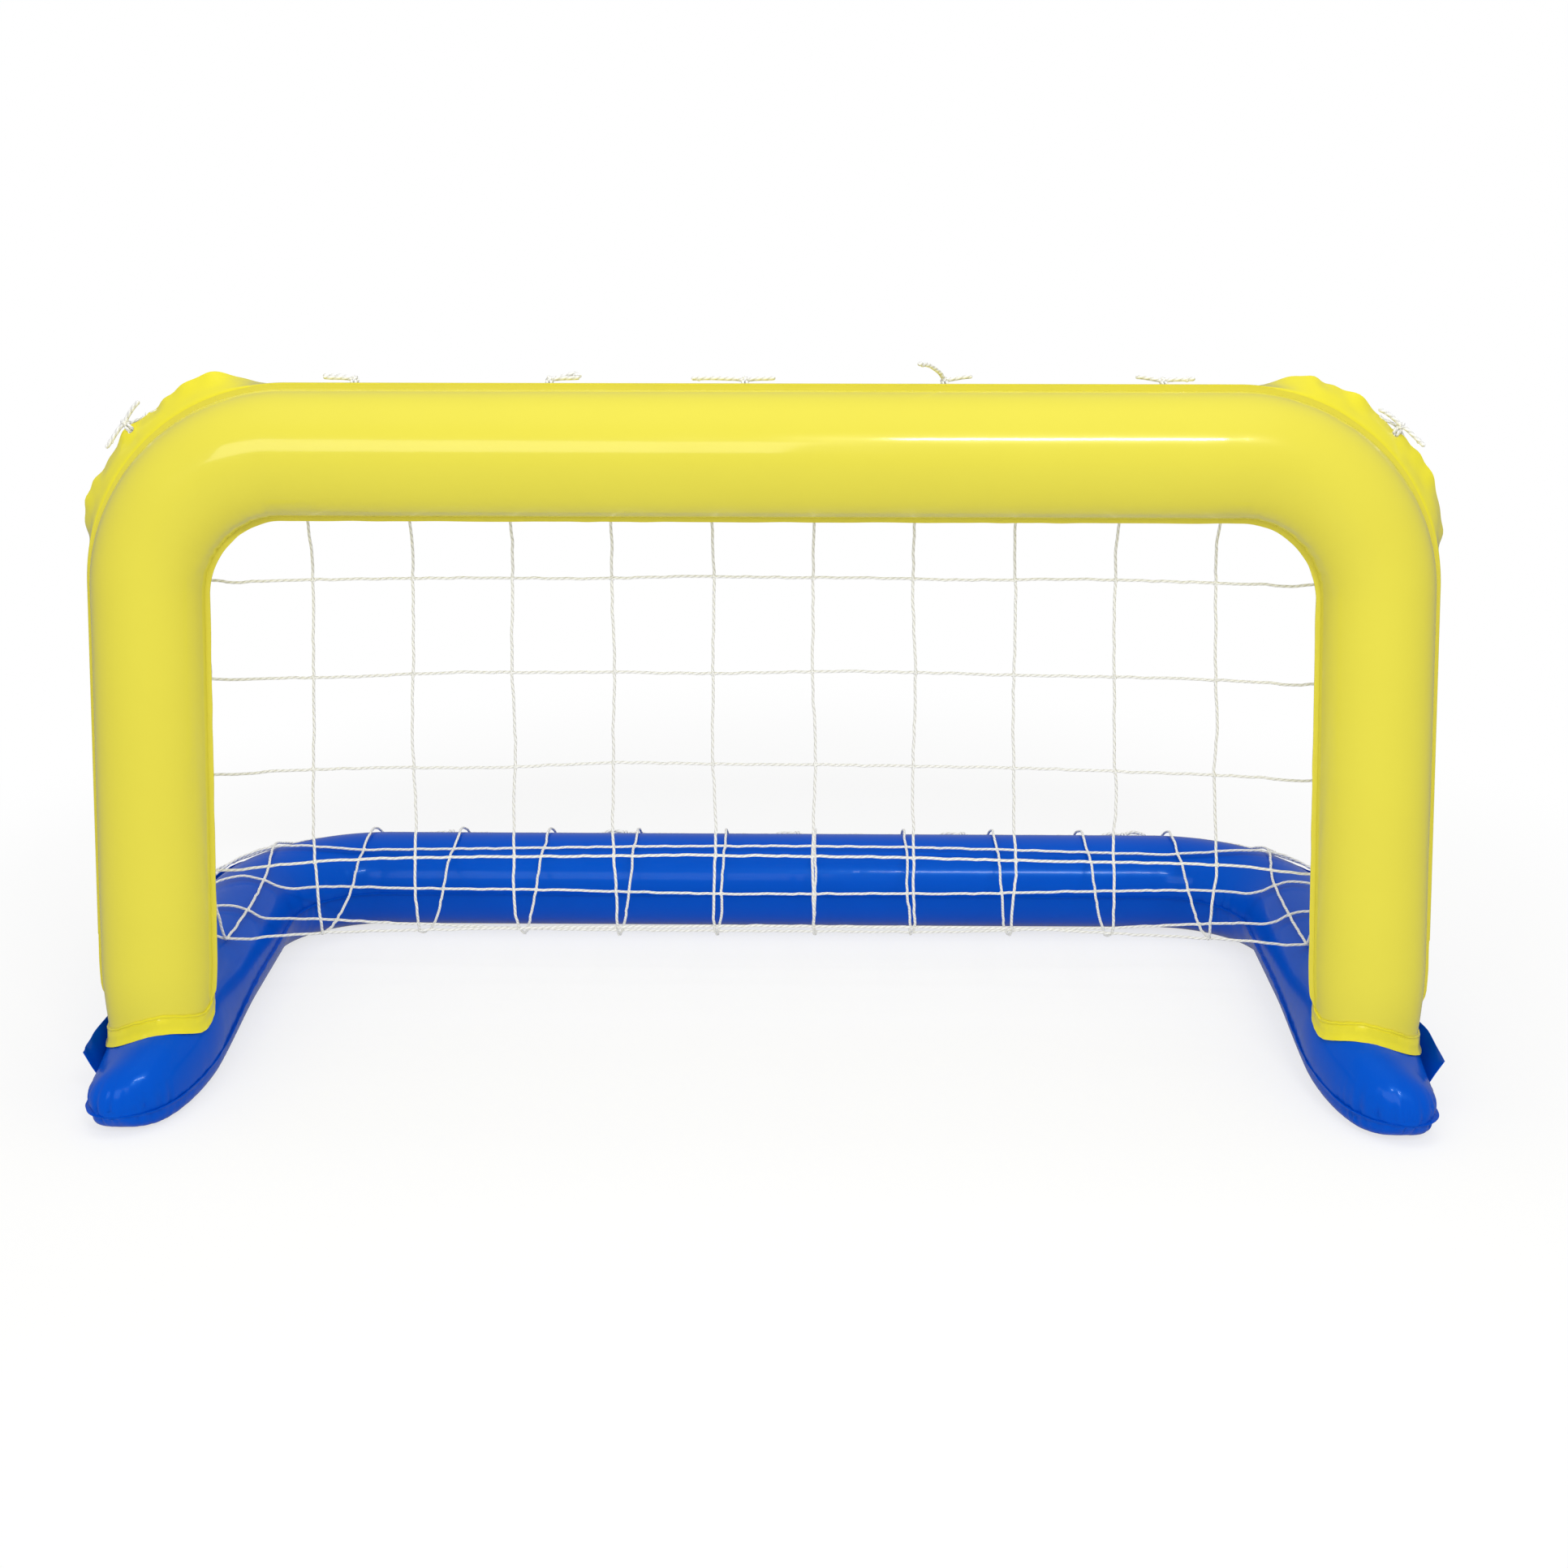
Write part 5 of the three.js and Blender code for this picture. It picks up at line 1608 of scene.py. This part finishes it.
    def _tube_samples(self) -> tuple[np.ndarray, np.ndarray]:
        """Samples the tubes' middle lines and radii, so that the net can be kept off them.

        Returns:
            The places, and how far off each the net stays.
        """
        clear = 4 * self.sizes.net_cord_radius - 2 * self.sizes.gap
        centres, radii = [], []
        for tube in (self.frame_strip.tube, self.base_strip.tube):
            for distance in np.linspace(-tube.half_length, tube.half_length, self.tube_points):
                centres.append(tube.place(float(distance), 0.0, 0.0))
                radii.append(tube.radius_at(float(distance)) + clear)
        return np.array(centres), np.array(radii)

    def coons(self, u: float, v: float) -> np.ndarray:
        """Blends the four edges into a sheet.

        Args:
            u: From -1 at the left edge to 1 at the right edge.
            v: The row.

        Returns:
            The point.
        """
        across, down = (u + 1) / 2, v / self.rows
        top, rear = self.frame_edge(u * self.frame_corner), self.base_edge(u * self.base_corner)
        top_line = lerp(self.frame_edge(-self.frame_corner), self.frame_edge(self.frame_corner), across)
        rear_line = lerp(self.base_edge(-self.base_corner), self.base_edge(self.base_corner), across)
        sides = lerp(self.side_edge(-1, v), self.side_edge(1, v), across)
        return sides + lerp(top, rear, down) - lerp(top_line, rear_line, down)

    def point(self, u: float, v: float) -> np.ndarray:
        """Gives a point of the net, kept clear of the tubes.

        Args:
            u: From -1 at the left edge to 1 at the right edge.
            v: The row.

        Returns:
            The point.
        """
        last = len(self.middle_line) - 1
        index = min(max(v / self.rows, 0.0), 1.0) * last
        low = min(int(index), last - 1)
        middle = lerp(self.middle_line[low], self.middle_line[low + 1], index - low)
        bulge = middle - self.coons(0.0, v)
        near, guard = abs(u), self.edge_guard
        fall, pull = 1 - near**self.fall_power, 1 - near**self.pull_power
        found = self.coons(u, v) + bulge * np.array([fall, pull, fall])
        if near > 1 - guard or v < guard or v > self.rows - guard:
            return found
        slack = self.slack * (1 - near**self.slack_power) * math.sin(math.pi * v / self.rows)
        drift = np.array([
            height * ripple(pace_across * u + pace_down * v, length, 1.0 + seed)
            for seed, (height, pace_across, pace_down, length) in enumerate(self.drift)
        ])
        return self.clear(found + slack * drift)

    def clear(self, point: np.ndarray) -> np.ndarray:
        """Moves a point out of the tubes' way."""
        centres, radii = self.tubes
        for _ in range(self.clear_tries):
            away = point - centres
            excess = radii - np.linalg.norm(away, axis=1)
            worst = int(np.argmax(excess))
            if excess[worst] <= 0:
                break
            point = point + unit(away[worst]) * excess[worst]
        return point

    def u_of(self, column: float) -> float:
        """Gives the place across the net of a column."""
        return 2 * column / self.columns - 1

    def build(self) -> None:
        """Builds and dresses the net."""
        bundle, fine = CordBundle(sides=self.cord_sides), self.fine
        radius = self.sizes.net_cord_radius
        rows, columns = range(self.rows + 1), range(self.columns + 1)
        row_seed, column_seed = self.first_seeds
        for row in rows:
            held = [self.point(self.u_of(i / fine), row) for i in range(self.columns * fine + 1)]
            bundle.add(self._wavy(held, row_seed + row), radius)
        for column in columns:
            held = [self.point(self.u_of(column), i / fine) for i in range(self.rows * fine + 1)]
            bundle.add(self._wavy(held, column_seed + column), radius)
        knots = [[self.point(self.u_of(column), row) for column in columns] for row in rows]
        turn, row_pace, column_pace = self.knot_turn
        for row in rows:
            for column in columns:
                right = knots[row][min(column + 1, self.columns)] - knots[row][max(column - 1, 0)]
                down = knots[min(row + 1, self.rows)][column] - knots[max(row - 1, 0)][column]
                tilt = turn * math.sin(row_pace * row + column_pace * column)
                bundle.add_knot(knots[row][column], right + tilt * down, down - tilt * right,
                                self.knot_size, radius * self.knot_thickness)
        made = bundle.piece("net", self.frame_strip.tube.finishes.cord)
        dress(made, "goal", "net")
        log.info("built %s with %d faces", made.name, len(made.data.polygons))

    def _wavy(self, held: list[np.ndarray], seed: float) -> np.ndarray:
        """Draws a cord that wanders a little, as slack cord does, but not at its ends.

        Args:
            held: The points that the cord is drawn through.
            seed: Shifts its waves.

        Returns:
            The points.
        """
        line = spline(np.array(held), self.spacing)
        lengths = lengths_along(line)
        fade = (smoothstep(lengths, 0.0, self.waver_fade)
                * smoothstep(lengths[-1] - lengths, 0.0, self.waver_fade))
        drift = np.stack([ripple(lengths, self.waver_length, seed + i) for i in range(3)], 1)
        return line + self.waver * fade[:, None] * drift


def centripetal(points: np.ndarray, steps: int) -> np.ndarray:
    """Draws a centripetal spline through points.

    Args:
        points: The points.
        steps: How many steps each span takes.

    Returns:
        The drawn points.
    """
    held = np.vstack([2 * points[0] - points[1], points, 2 * points[-1] - points[-2]])
    drawn = []
    for i in range(1, len(held) - 2):
        p0, p1, p2, p3 = held[i - 1 : i + 3]
        d0, d1, d2 = (max(np.linalg.norm(b - a) ** 0.5, LEAST_STEP)
                      for a, b in ((p0, p1), (p1, p2), (p2, p3)))
        m1 = ((p1 - p0) / d0 - (p2 - p0) / (d0 + d1) + (p2 - p1) / d1) * d1
        m2 = ((p2 - p1) / d1 - (p3 - p1) / (d1 + d2) + (p3 - p2) / d2) * d1
        for step in range(steps):
            t = step / steps
            drawn.append((2 * t**3 - 3 * t**2 + 1) * p1 + (t**3 - 2 * t**2 + t) * m1
                         + (-2 * t**3 + 3 * t**2) * p2 + (t**3 - t**2) * m2)
    drawn.append(points[-1])
    return np.array(drawn)


@dataclass(frozen=True)
class TiePlan:
    """One tie: the piece's name, where on the net's edge it sits, and how its tails lie."""

    name: str
    gap: int
    share: float
    tails: tuple[tuple[Tail, int], ...]


@dataclass
class Ties:
    """The short cords that tie the net's edge to the strips."""

    net: GoalNet
    tail_length: float = 0.030
    tail_lift: float = 0.45
    tail_thickness: float = 1.2
    loop_height: float = 0.0085
    loop_shift: float = 0.55
    loop_points: int = 14
    loop_spacing: float = 0.002
    loop_thickness: float = 0.95
    look_ahead: float = 0.01
    knot_size: float = 0.0048
    second_lift: float = 0.0012
    second_turn: float = 0.4
    second_size: float = 0.9
    tail_spacing: float = 0.0022
    end_knot_size: float = 0.68
    end_knot_thickness: float = 0.85
    crossbar: tuple[TiePlan, ...] = (
        TiePlan("tie_crossbar_1", 2, 0.16, ((Tail.HOOKED, -1), (Tail.TRAILING, -1))),
        TiePlan("tie_crossbar_2", 4, 0.24, ((Tail.BOWED, 1), (Tail.TRAILING, 1))),
        TiePlan("tie_crossbar_3", 6, 0.32, ((Tail.LONG, -1), (Tail.TRAILING, 1))),
        TiePlan("tie_crossbar_4", 8, 0.44, ((Tail.OVER_FRONT, -1), (Tail.LIFTED, 1))),
        TiePlan("tie_crossbar_5", 10, 0.76, ((Tail.TRAILING, 1), (Tail.LIFTED, -1))),
    )
    rear: tuple[TiePlan, ...] = (
        TiePlan("tie_base_corner_left", 0, 0.6, ((Tail.TRAILING, 1), (Tail.LIFTED, -1))),
        TiePlan("tie_base_rear_1", 2, 0.73, ((Tail.TRAILING, 1), (Tail.LIFTED, -1))),
        TiePlan("tie_base_rear_2", 4, 0.77, ((Tail.LIFTED, 1), (Tail.HOOKED, -1))),
        TiePlan("tie_base_rear_3", 6, 0.8, ((Tail.TRAILING, 1), (Tail.LIFTED, -1))),
        TiePlan("tie_base_rear_4", 8, 0.74, ((Tail.TRAILING, 1), (Tail.LIFTED, -1))),
        TiePlan("tie_base_rear_5", 10, 0.63, ((Tail.HOOKED, 1), (Tail.HOOKED, -1))),
        TiePlan("tie_base_corner_right", 12, 0.4, ((Tail.TRAILING, -1), (Tail.LIFTED, 1))),
    )
    post: tuple[TiePlan, ...] = (
        TiePlan("tie_post_upper", 2, 0.32, ((Tail.HOOKED, 1), (Tail.TRAILING, 1))),
        TiePlan("tie_post_lower", 4, 0.42, ((Tail.LIFTED, -1), (Tail.TRAILING, 1))),
    )
    corner_tails: tuple[tuple[Tail, int], ...] = ((Tail.TRAILING, 1), (Tail.LIFTED, -1))
    arm: tuple[TiePlan, ...] = (
        TiePlan("tie_arm_rear", 8, 0.45, ((Tail.TRAILING, 1), (Tail.LIFTED, -1))),
        TiePlan("tie_arm_front", 6, 0.3, ((Tail.HOOKED, 1), (Tail.TRAILING, -1))),
    )

    def build(self) -> None:
        """Builds every tie and gives its strip the hole for it."""
        net = self.net
        strip, base = net.frame_strip, net.base_strip
        for plan in self.crossbar:
            u = net.u_of(plan.gap + plan.share)
            self._tie(plan.name, strip, u * net.frame_corner, net.point(u, 0), (1, 0, 0), plan.tails)
        for plan in self.rear:
            u = net.u_of(plan.gap + plan.share)
            self._tie(plan.name, base, u * net.base_corner, net.point(u, net.rows), (1, 0, 0), plan.tails)
        bend = strip.tube.path.bend_length(strip.offset)
        corner_share = bend * (0.5 - net.frame_corner_share) / net.row_pitch
        corner = TiePlan("tie_corner", 0, corner_share, self.corner_tails)
        for side in Side:
            word = side.name.lower()
            for plan in (corner, *self.post):
                at = plan.gap + plan.share
                distance = side.value * (net.frame_corner + at * net.row_pitch)
                self._tie(f"{plan.name}_{word}", strip, distance, net.side_edge(side.value, at),
                          (0, 0, -1), plan.tails)
            for plan in self.arm:
                at = plan.gap + plan.share
                share = (at - net.post_rows - 1) / (net.rows - net.post_rows - 1)
                distance = side.value * lerp(net.arm_end, net.base_corner, share)
                self._tie(f"{plan.name}_{word}", base, distance, net.side_edge(side.value, at),
                          (0, -1, 0), plan.tails)

    def _tie(self, name: str, strip: NetStrip, distance: float, cord: np.ndarray,
             heading: tuple[float, float, float], tails: tuple[tuple[Tail, int], ...]) -> None:
        """Builds one tie.

        Args:
            name: The solid that it stands for.
            strip: The strip that it holds.
            distance: Where its hole is along the strip.
            cord: The point of the net's edge that it goes round.
            heading: The way that its tails are measured along.
            tails: Its tails and their senses.
        """
        sizes = self.net.sizes
        hole = strip.point(distance, strip.width - sizes.tie_hole_edge)
        edge = strip.point(distance, strip.width)
        out = unit(cord - hole)
        along = np.array(heading, float)
        ahead = strip.point(distance + math.copysign(self.look_ahead, distance or 1.0), strip.width)
        run = unit(ahead - edge)
        along = run * (1 if np.dot(run, along) >= 0 else -1)
        along = unit(along - out * np.dot(along, out))
        away = np.cross(along, out)
        if np.dot(away, hole - strip.middle(distance)) < 0:
            away = -away
        strip.holes.append(Hole(hole, unit(np.cross(edge - hole, along))))
        radius = sizes.tie_cord_radius
        near = sizes.tie_hole_diameter / 2 - radius - sizes.gap
        far = float(np.linalg.norm(cord - hole)) + sizes.net_cord_radius + radius
        centre = hole + out * (near + far) / 2
        bundle = CordBundle()
        count = self.loop_points
        turns = 2 * np.pi * np.arange(count) / count + math.pi / 2
        for shift in (-self.loop_shift, self.loop_shift):
            loop = (centre + along * shift * radius * 2
                    + out * ((far - near) / 2) * np.cos(turns)[:, None]
                    + away * (self.loop_height / 2) * np.sin(turns)[:, None])
            bundle.add(spline(loop, self.loop_spacing, endless=True), radius * self.loop_thickness,
                       endless=True)
        knot = centre + away * (self.loop_height / 2 + self.knot_size / 2)
        bundle.add_knot(knot, along, out, self.knot_size, radius)
        bundle.add_knot(knot + away * self.second_lift, out + along * self.second_turn, away,
                        self.knot_size * self.second_size, radius)
        for index, (tail, sense) in enumerate(tails):
            line = [knot]
            for a, b, c in tail.value:
                line.append(knot + self.tail_length * (along * sense * a + away * b * self.tail_lift
                                                       + out * c))
            line = spline(np.array(line), self.tail_spacing)
            bundle.add(line, radius * self.tail_thickness)
            if index == 0:
                size = self.knot_size * self.end_knot_size
                bundle.add_knot(line[-4], line[-1] - line[-3], away, size, radius * self.end_knot_thickness)
        made = bundle.piece(name, self.net.frame_strip.tube.finishes.cord)
        dress(made, "goal", name)
        log.info("built %s", made.name)


@dataclass
class Valve:
    """An inflation valve: a welded flange, a stem, a stopper with a tab, and a check flap."""

    name: str
    finishes: Finishes
    tube_radius: float
    tube_way: np.ndarray
    out_way: np.ndarray
    tab_way: np.ndarray
    flange_radius: float = 0.017
    flange_thickness: float = 0.0012
    stem_radius: float = 0.0065
    bore_radius: float = 0.0046
    stem_height: float = 0.012
    stem_depth: float = 0.012
    lip_radius: float = 0.00825
    lip_thickness: float = 0.0016
    shank_length: float = 0.007
    cap_thickness: float = 0.0018
    tab_length: float = 0.009
    flap_thickness: float = 0.0005
    pocket_depth: float = 0.032
    gap: float = 0.0003
    sides: int = 48
    core_radius: float = 0.0001
    lip_taper: float = 0.0001
    cap_crown: float = 0.0002
    cap_flat: float = 0.7
    bed: float = 0.0002
    hub_width: float = 0.0016
    hub_height: float = 0.9
    rim_height: float = 0.5
    shoulder: tuple[float, float] = (0.96, 0.85)
    ease: float = 0.0003
    ease_share: float = 0.3
    tab_root: float = 0.6
    tab_half: float = 0.48
    tab_steps: int = 12
    tab_inset: tuple[float, float] = (0.0001, 0.0002)
    sharp_turned: float = 70.0
    sharp_moulded: float = 50.0

    def __post_init__(self) -> None:
        """Finds the valve's place from its stem in the frame."""
        low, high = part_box(f"{self.name}_valve_stem")
        self.out = unit(np.array(self.out_way, float))
        wider_end = (self.lip_radius - self.stem_radius) / 2 * np.sqrt(1 - self.out**2)
        middle = np.array((low + high) / 2) - np.sign(self.out) * wider_end
        self.top = self.stem_height + self.flange_thickness
        self.surface = middle - self.out * (self.top - self.stem_depth) / 2
        self.hole_radius = self.stem_radius + self.gap

    def sink(self, sheet: bpy.types.Object) -> None:
        """Opens the sheet under the flange, with room for the stem and the flap to move."""
        punch(sheet, [Hole(self.surface, self.out)], self.hole_radius, self.pocket_depth)

    def build(self) -> None:
        """Builds and dresses the four pieces."""
        top, core = self.top, self.core_radius
        self._make("flange", self._flange(), self.sharp_moulded)
        self._make("stem", self._spin([
            (self.bore_radius, -self.stem_depth), (self.stem_radius, -self.stem_depth),
            (self.stem_radius, top - self.lip_thickness - self.lip_taper),
            (self.lip_radius, top - self.lip_thickness), (self.lip_radius, top),
            (self.bore_radius, top)]), self.sharp_turned)
        low, foot = top + self.gap, top - self.shank_length
        high = low + self.cap_thickness
        points, faces = self._spin([
            (core, foot), (self.bore_radius - 2 * self.gap, foot), (self.bore_radius - self.gap, low),
            (self.lip_radius, low), (self.lip_radius, high),
            (self.lip_radius * self.cap_flat, high + self.cap_crown), (core, high)])
        tab_points, tab_faces = self._tab(low, high)
        faces += [tuple(len(points) + index for index in face) for face in tab_faces]
        self._make("stopper", (np.vstack([points, tab_points]), faces), self.sharp_moulded)
        high = -self.stem_depth - self.gap
        low, radius = high - self.flap_thickness, self.bore_radius + 2 * self.flap_thickness
        self._make("flap", self._spin([(core, low), (radius, low), (radius, high), (core, high)]),
                   self.sharp_turned)

    def _make(self, part: str, shape: tuple[np.ndarray, Faces], sharp_from: float) -> None:
        """Makes and dresses one piece.

        Args:
            part: Its name within the valve.
            shape: Its points and faces.
            sharp_from: The angle in degrees from which an edge stays sharp.
        """
        node = f"{self.name}_valve_{part}"
        made = mesh_piece(node, *shape, self.finishes.valve, sharp_from)
        dress(made, "goal" if part == "flange" else f"{self.name}_{part}", node)
        log.info("built %s", made.name)

    def _spin(self, outline: Outline) -> tuple[np.ndarray, Faces]:
        """Turns an outline with eased corners about the valve's axis.

        Args:
            outline: Radius and height pairs, once round.

        Returns:
            The points and the faces.
        """
        eased = []
        for index, (radius, height) in enumerate(outline):
            for near_radius, near_height in (outline[index - 1], outline[(index + 1) % len(outline)]):
                run = math.hypot(near_radius - radius, near_height - height)
                share = min(self.ease_share, self.ease / run)
                eased.append((lerp(radius, near_radius, share), lerp(height, near_height, share)))
        side = unit(np.cross(self.out, ASKEW))
        rings = [[self.surface + radius * way + height * self.out for radius, height in eased]
                 for way in ways_round(side, np.cross(self.out, side), self.sides)]
        return lofted(np.array(rings), endless=True)

    def _flange(self) -> tuple[np.ndarray, Faces]:
        """Shapes the flange as a disc that follows the round tube under it.

        Returns:
            The points and the faces.
        """
        along = unit(np.array(self.tube_way, float))
        across = np.cross(self.out, along)
        hole, edge = self.hole_radius, self.flange_radius
        inset, shoulder = self.shoulder
        outline = ((hole, 0.0), (edge, 0.0), (edge, self.rim_height), (edge * inset, shoulder),
                   (hole + self.hub_width, 1.0), (hole, self.hub_height))
        rings = []
        for way in ways_round(along, across, self.sides):
            ring = []
            for radius, share in outline:
                aside = radius * float(np.dot(way, across))
                sink = self.tube_radius - math.sqrt(self.tube_radius**2 - aside**2)
                height = share * self.flange_thickness - sink + self.bed
                ring.append(self.surface + radius * way + height * self.out)
            rings.append(ring)
        return lofted(np.array(rings), endless=True)

    def _tab(self, low: float, high: float) -> tuple[np.ndarray, Faces]:
        """Shapes the rounded pull tab of the stopper's cap.

        Args:
            low: The cap's underside.
            high: The cap's top.

        Returns:
            The points and the faces.
        """
        tab = unit(np.array(self.tab_way, float))
        side = np.cross(self.out, tab)
        half, root = self.lip_radius * self.tab_half, self.lip_radius * self.tab_root
        end = self.lip_radius + self.tab_length - half
        plan = [(root, -half)]
        for step in range(self.tab_steps + 1):
            angle = -math.pi / 2 + math.pi * step / self.tab_steps
            plan.append((end + half * math.cos(angle), half * math.sin(angle)))
        plan.append((root, half))
        below, above = self.tab_inset
        return lofted(np.array([
            [self.surface + a * tab + b * side + height * self.out for a, b in plan]
            for height in (low + below, (low + high) / 2, high - above)
        ]))


@dataclass(frozen=True)
class Lamp:
    """A flat lamp: its place, what it points at, its sides, its power and whether it is mirrored."""

    name: str
    place: tuple[float, float, float]
    target: tuple[float, float, float]
    width: float
    depth: float
    power: float
    mirrored: bool

    def hang(self) -> None:
        """Hangs the lamp."""
        data = bpy.data.lights.new(self.name, "AREA")
        data.shape = "RECTANGLE"
        data.size, data.size_y = self.width, self.depth
        data.energy = self.power
        lamp = bpy.data.objects.new(self.name, data)
        lamp.visible_glossy = self.mirrored
        lamp.location = self.place
        way = Vector(self.target) - Vector(self.place)
        lamp.rotation_euler = way.to_track_quat("-Z", "Y").to_euler()
        bpy.context.scene.collection.objects.link(lamp)


@dataclass
class Studio:
    """The pale floor, the soft lamps, the white background and the camera."""

    plane: float
    focal_pixels: float = 2800.0
    frame_pixels: float = 1932.0
    sensor_width: float = 36.0
    clip: tuple[float, float] = (0.05, 50.0)
    camera_place: tuple[float, float, float] = (0.058, -2.350, 1.101)
    pitch: float = 18.0
    yaw: float = 0.83
    floor_half: float = 12.0
    floor_drop: float = 0.0004
    floor_roughness: float = 0.9
    floor_mirror: float = 0.1
    floor_mottle: float = 3.0
    floor_tones: tuple[Colour, Colour] = ((0.98, 0.98, 0.98, 1.0), (0.96, 0.96, 0.96, 1.0))
    floor_fade: tuple[float, float] = (0.85, 1.5)
    floor_glow: float = 0.72
    white: Colour = (1.0, 1.0, 1.0, 1.0)
    soft_light: float = 0.55
    mirrored_light: float = 0.34
    seen_light: float = 1.0
    mirrored_floor: float = 0.3
    lamps: tuple[Lamp, ...] = (
        Lamp("overhead", (0.0, -0.4, 3.2), (0.0, 0.0, 0.3), 3.0, 2.4, 34.0, False),
        Lamp("streak", (0.72, -2.76, 2.68), (0.3, -0.1, 0.6), 0.95, 0.22, 27.0, True),
        Lamp("front", (-1.2, -4.2, 2.4), (0.0, 0.0, 0.4), 2.6, 1.6, 34.0, True),
    )

    def build(self) -> None:
        """Builds the whole stage."""
        self._camera()
        self._floor()
        self._world()
        for lamp in self.lamps:
            lamp.hang()
        bpy.context.scene.view_settings.view_transform = "Standard"
        log.info("built the stage")

    def _camera(self) -> None:
        """Places the camera at the photograph's viewing angle."""
        data = bpy.data.cameras.new("camera")
        data.sensor_fit = "HORIZONTAL"
        data.sensor_width = self.sensor_width
        data.lens = self.sensor_width * self.focal_pixels / self.frame_pixels
        data.clip_start, data.clip_end = self.clip
        camera = bpy.data.objects.new("camera", data)
        x, y, z = self.camera_place
        camera.location = (x, y + self.plane, z)
        camera.rotation_euler = (math.radians(90 - self.pitch), 0.0, math.radians(self.yaw))
        bpy.context.scene.collection.objects.link(camera)
        bpy.context.scene.camera = camera

    def _floor(self) -> None:
        """Lays a plain pale floor that keeps the object's shadow and fades to white far away."""
        half = self.floor_half
        mesh = bpy.data.meshes.new("floor")
        mesh.from_pydata([(-half, -half, 0), (half, -half, 0), (half, half, 0), (-half, half, 0)], [],
                         [(0, 1, 2, 3)])
        floor = link_object("floor", mesh)
        floor.location = (0, 0, -self.floor_drop)
        made, tree, shader = new_material("pale_floor")
        place = tree.add("TexCoord", {}).outputs["Object"]
        tone = tree.blend(tree.noise(self.floor_mottle, {"Vector": place}), *self.floor_tones)
        tree.feed(shader, {"Roughness": self.floor_roughness, "Specular IOR Level": self.floor_mirror,
                           "Base Color": tone})
        away = tree.add("VectorMath", {0: place})
        away.operation = "LENGTH"
        near, far = self.floor_fade
        fade = tree.add("MapRange", {"Value": away.outputs["Value"], "From Min": near, "From Max": far,
                                     "To Min": self.floor_glow})
        fade.interpolation_type = "SMOOTHSTEP"
        ray = tree.add("LightPath", {}).outputs
        seen = tree.maths("MULTIPLY", fade.outputs["Result"], ray["Is Camera Ray"])
        white = tree.add("Emission", {}).outputs["Emission"]
        dim = tree.add("Emission", {"Strength": self.mirrored_floor}).outputs["Emission"]
        mirrored = tree.mix(ray["Is Glossy Ray"], shader.outputs["BSDF"], dim)
        tree.feed(tree.nodes["Material Output"], {"Surface": tree.mix(seen, mirrored, white)})
        mesh.materials.append(made)

    def _world(self) -> None:
        """Makes the background white to the camera and a plain soft light on the object."""
        world = bpy.data.worlds.new("studio")
        bpy.context.scene.world = world
        tree = ShaderTree(world)
        tree.nodes.clear()
        ray = tree.add("LightPath", {}).outputs
        soft, mirrored, seen = (
            tree.add("Background", {"Color": self.white, "Strength": strength}).outputs["Background"]
            for strength in (self.soft_light, self.mirrored_light, self.seen_light)
        )
        lit = tree.mix(ray["Is Glossy Ray"], soft, mirrored)
        tree.add("OutputWorld", {"Surface": tree.mix(ray["Is Camera Ray"], lit, seen)})


def main() -> None:
    """Builds the goal's pieces in order, then the stage."""
    logging.basicConfig(level=logging.INFO, format="%(name)s: %(message)s")
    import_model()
    sizes, finishes = Sizes(), Finishes.build()
    tips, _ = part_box("base_top_panel")
    plane = float(tips.y) + sizes.foot_reach
    frame = GoalFrame(sizes, finishes, plane)
    base = FloatBase(sizes, finishes, plane)
    Studio(plane).build()
    along_rear = np.array([1.0, 0.0, 0.0])
    valve_out = np.array([0.0, math.cos(BASE_VALVE_TILT), math.sin(BASE_VALVE_TILT)])
    frame_valve = Valve("frame", finishes, sizes.post_radius, frame.leg_down, frame.rear, frame.leg_down)
    base_valve = Valve("base", finishes, sizes.base_radius, along_rear, valve_out, along_rear)
    frame.build(base, frame_valve)
    base.build(base_valve)
    for side in Side:
        Collar(frame, base, side).build()
    strip_end = sizes.base_top + 3 * sizes.collar_width - sizes.post_end_height
    frame_strip = FrameStrip(frame, sizes.frame_strip_width, sizes.post_radius, strip_end)
    base_strip = BaseStrip(base, sizes.base_strip_width, sizes.base_radius, sizes.base_strip_end)
    net = GoalNet(frame_strip, base_strip)
    Ties(net).build()
    frame_strip.build()
    base_strip.build()
    net.build()
    frame_valve.build()
    base_valve.build()


if __name__ == "__main__":
    main()
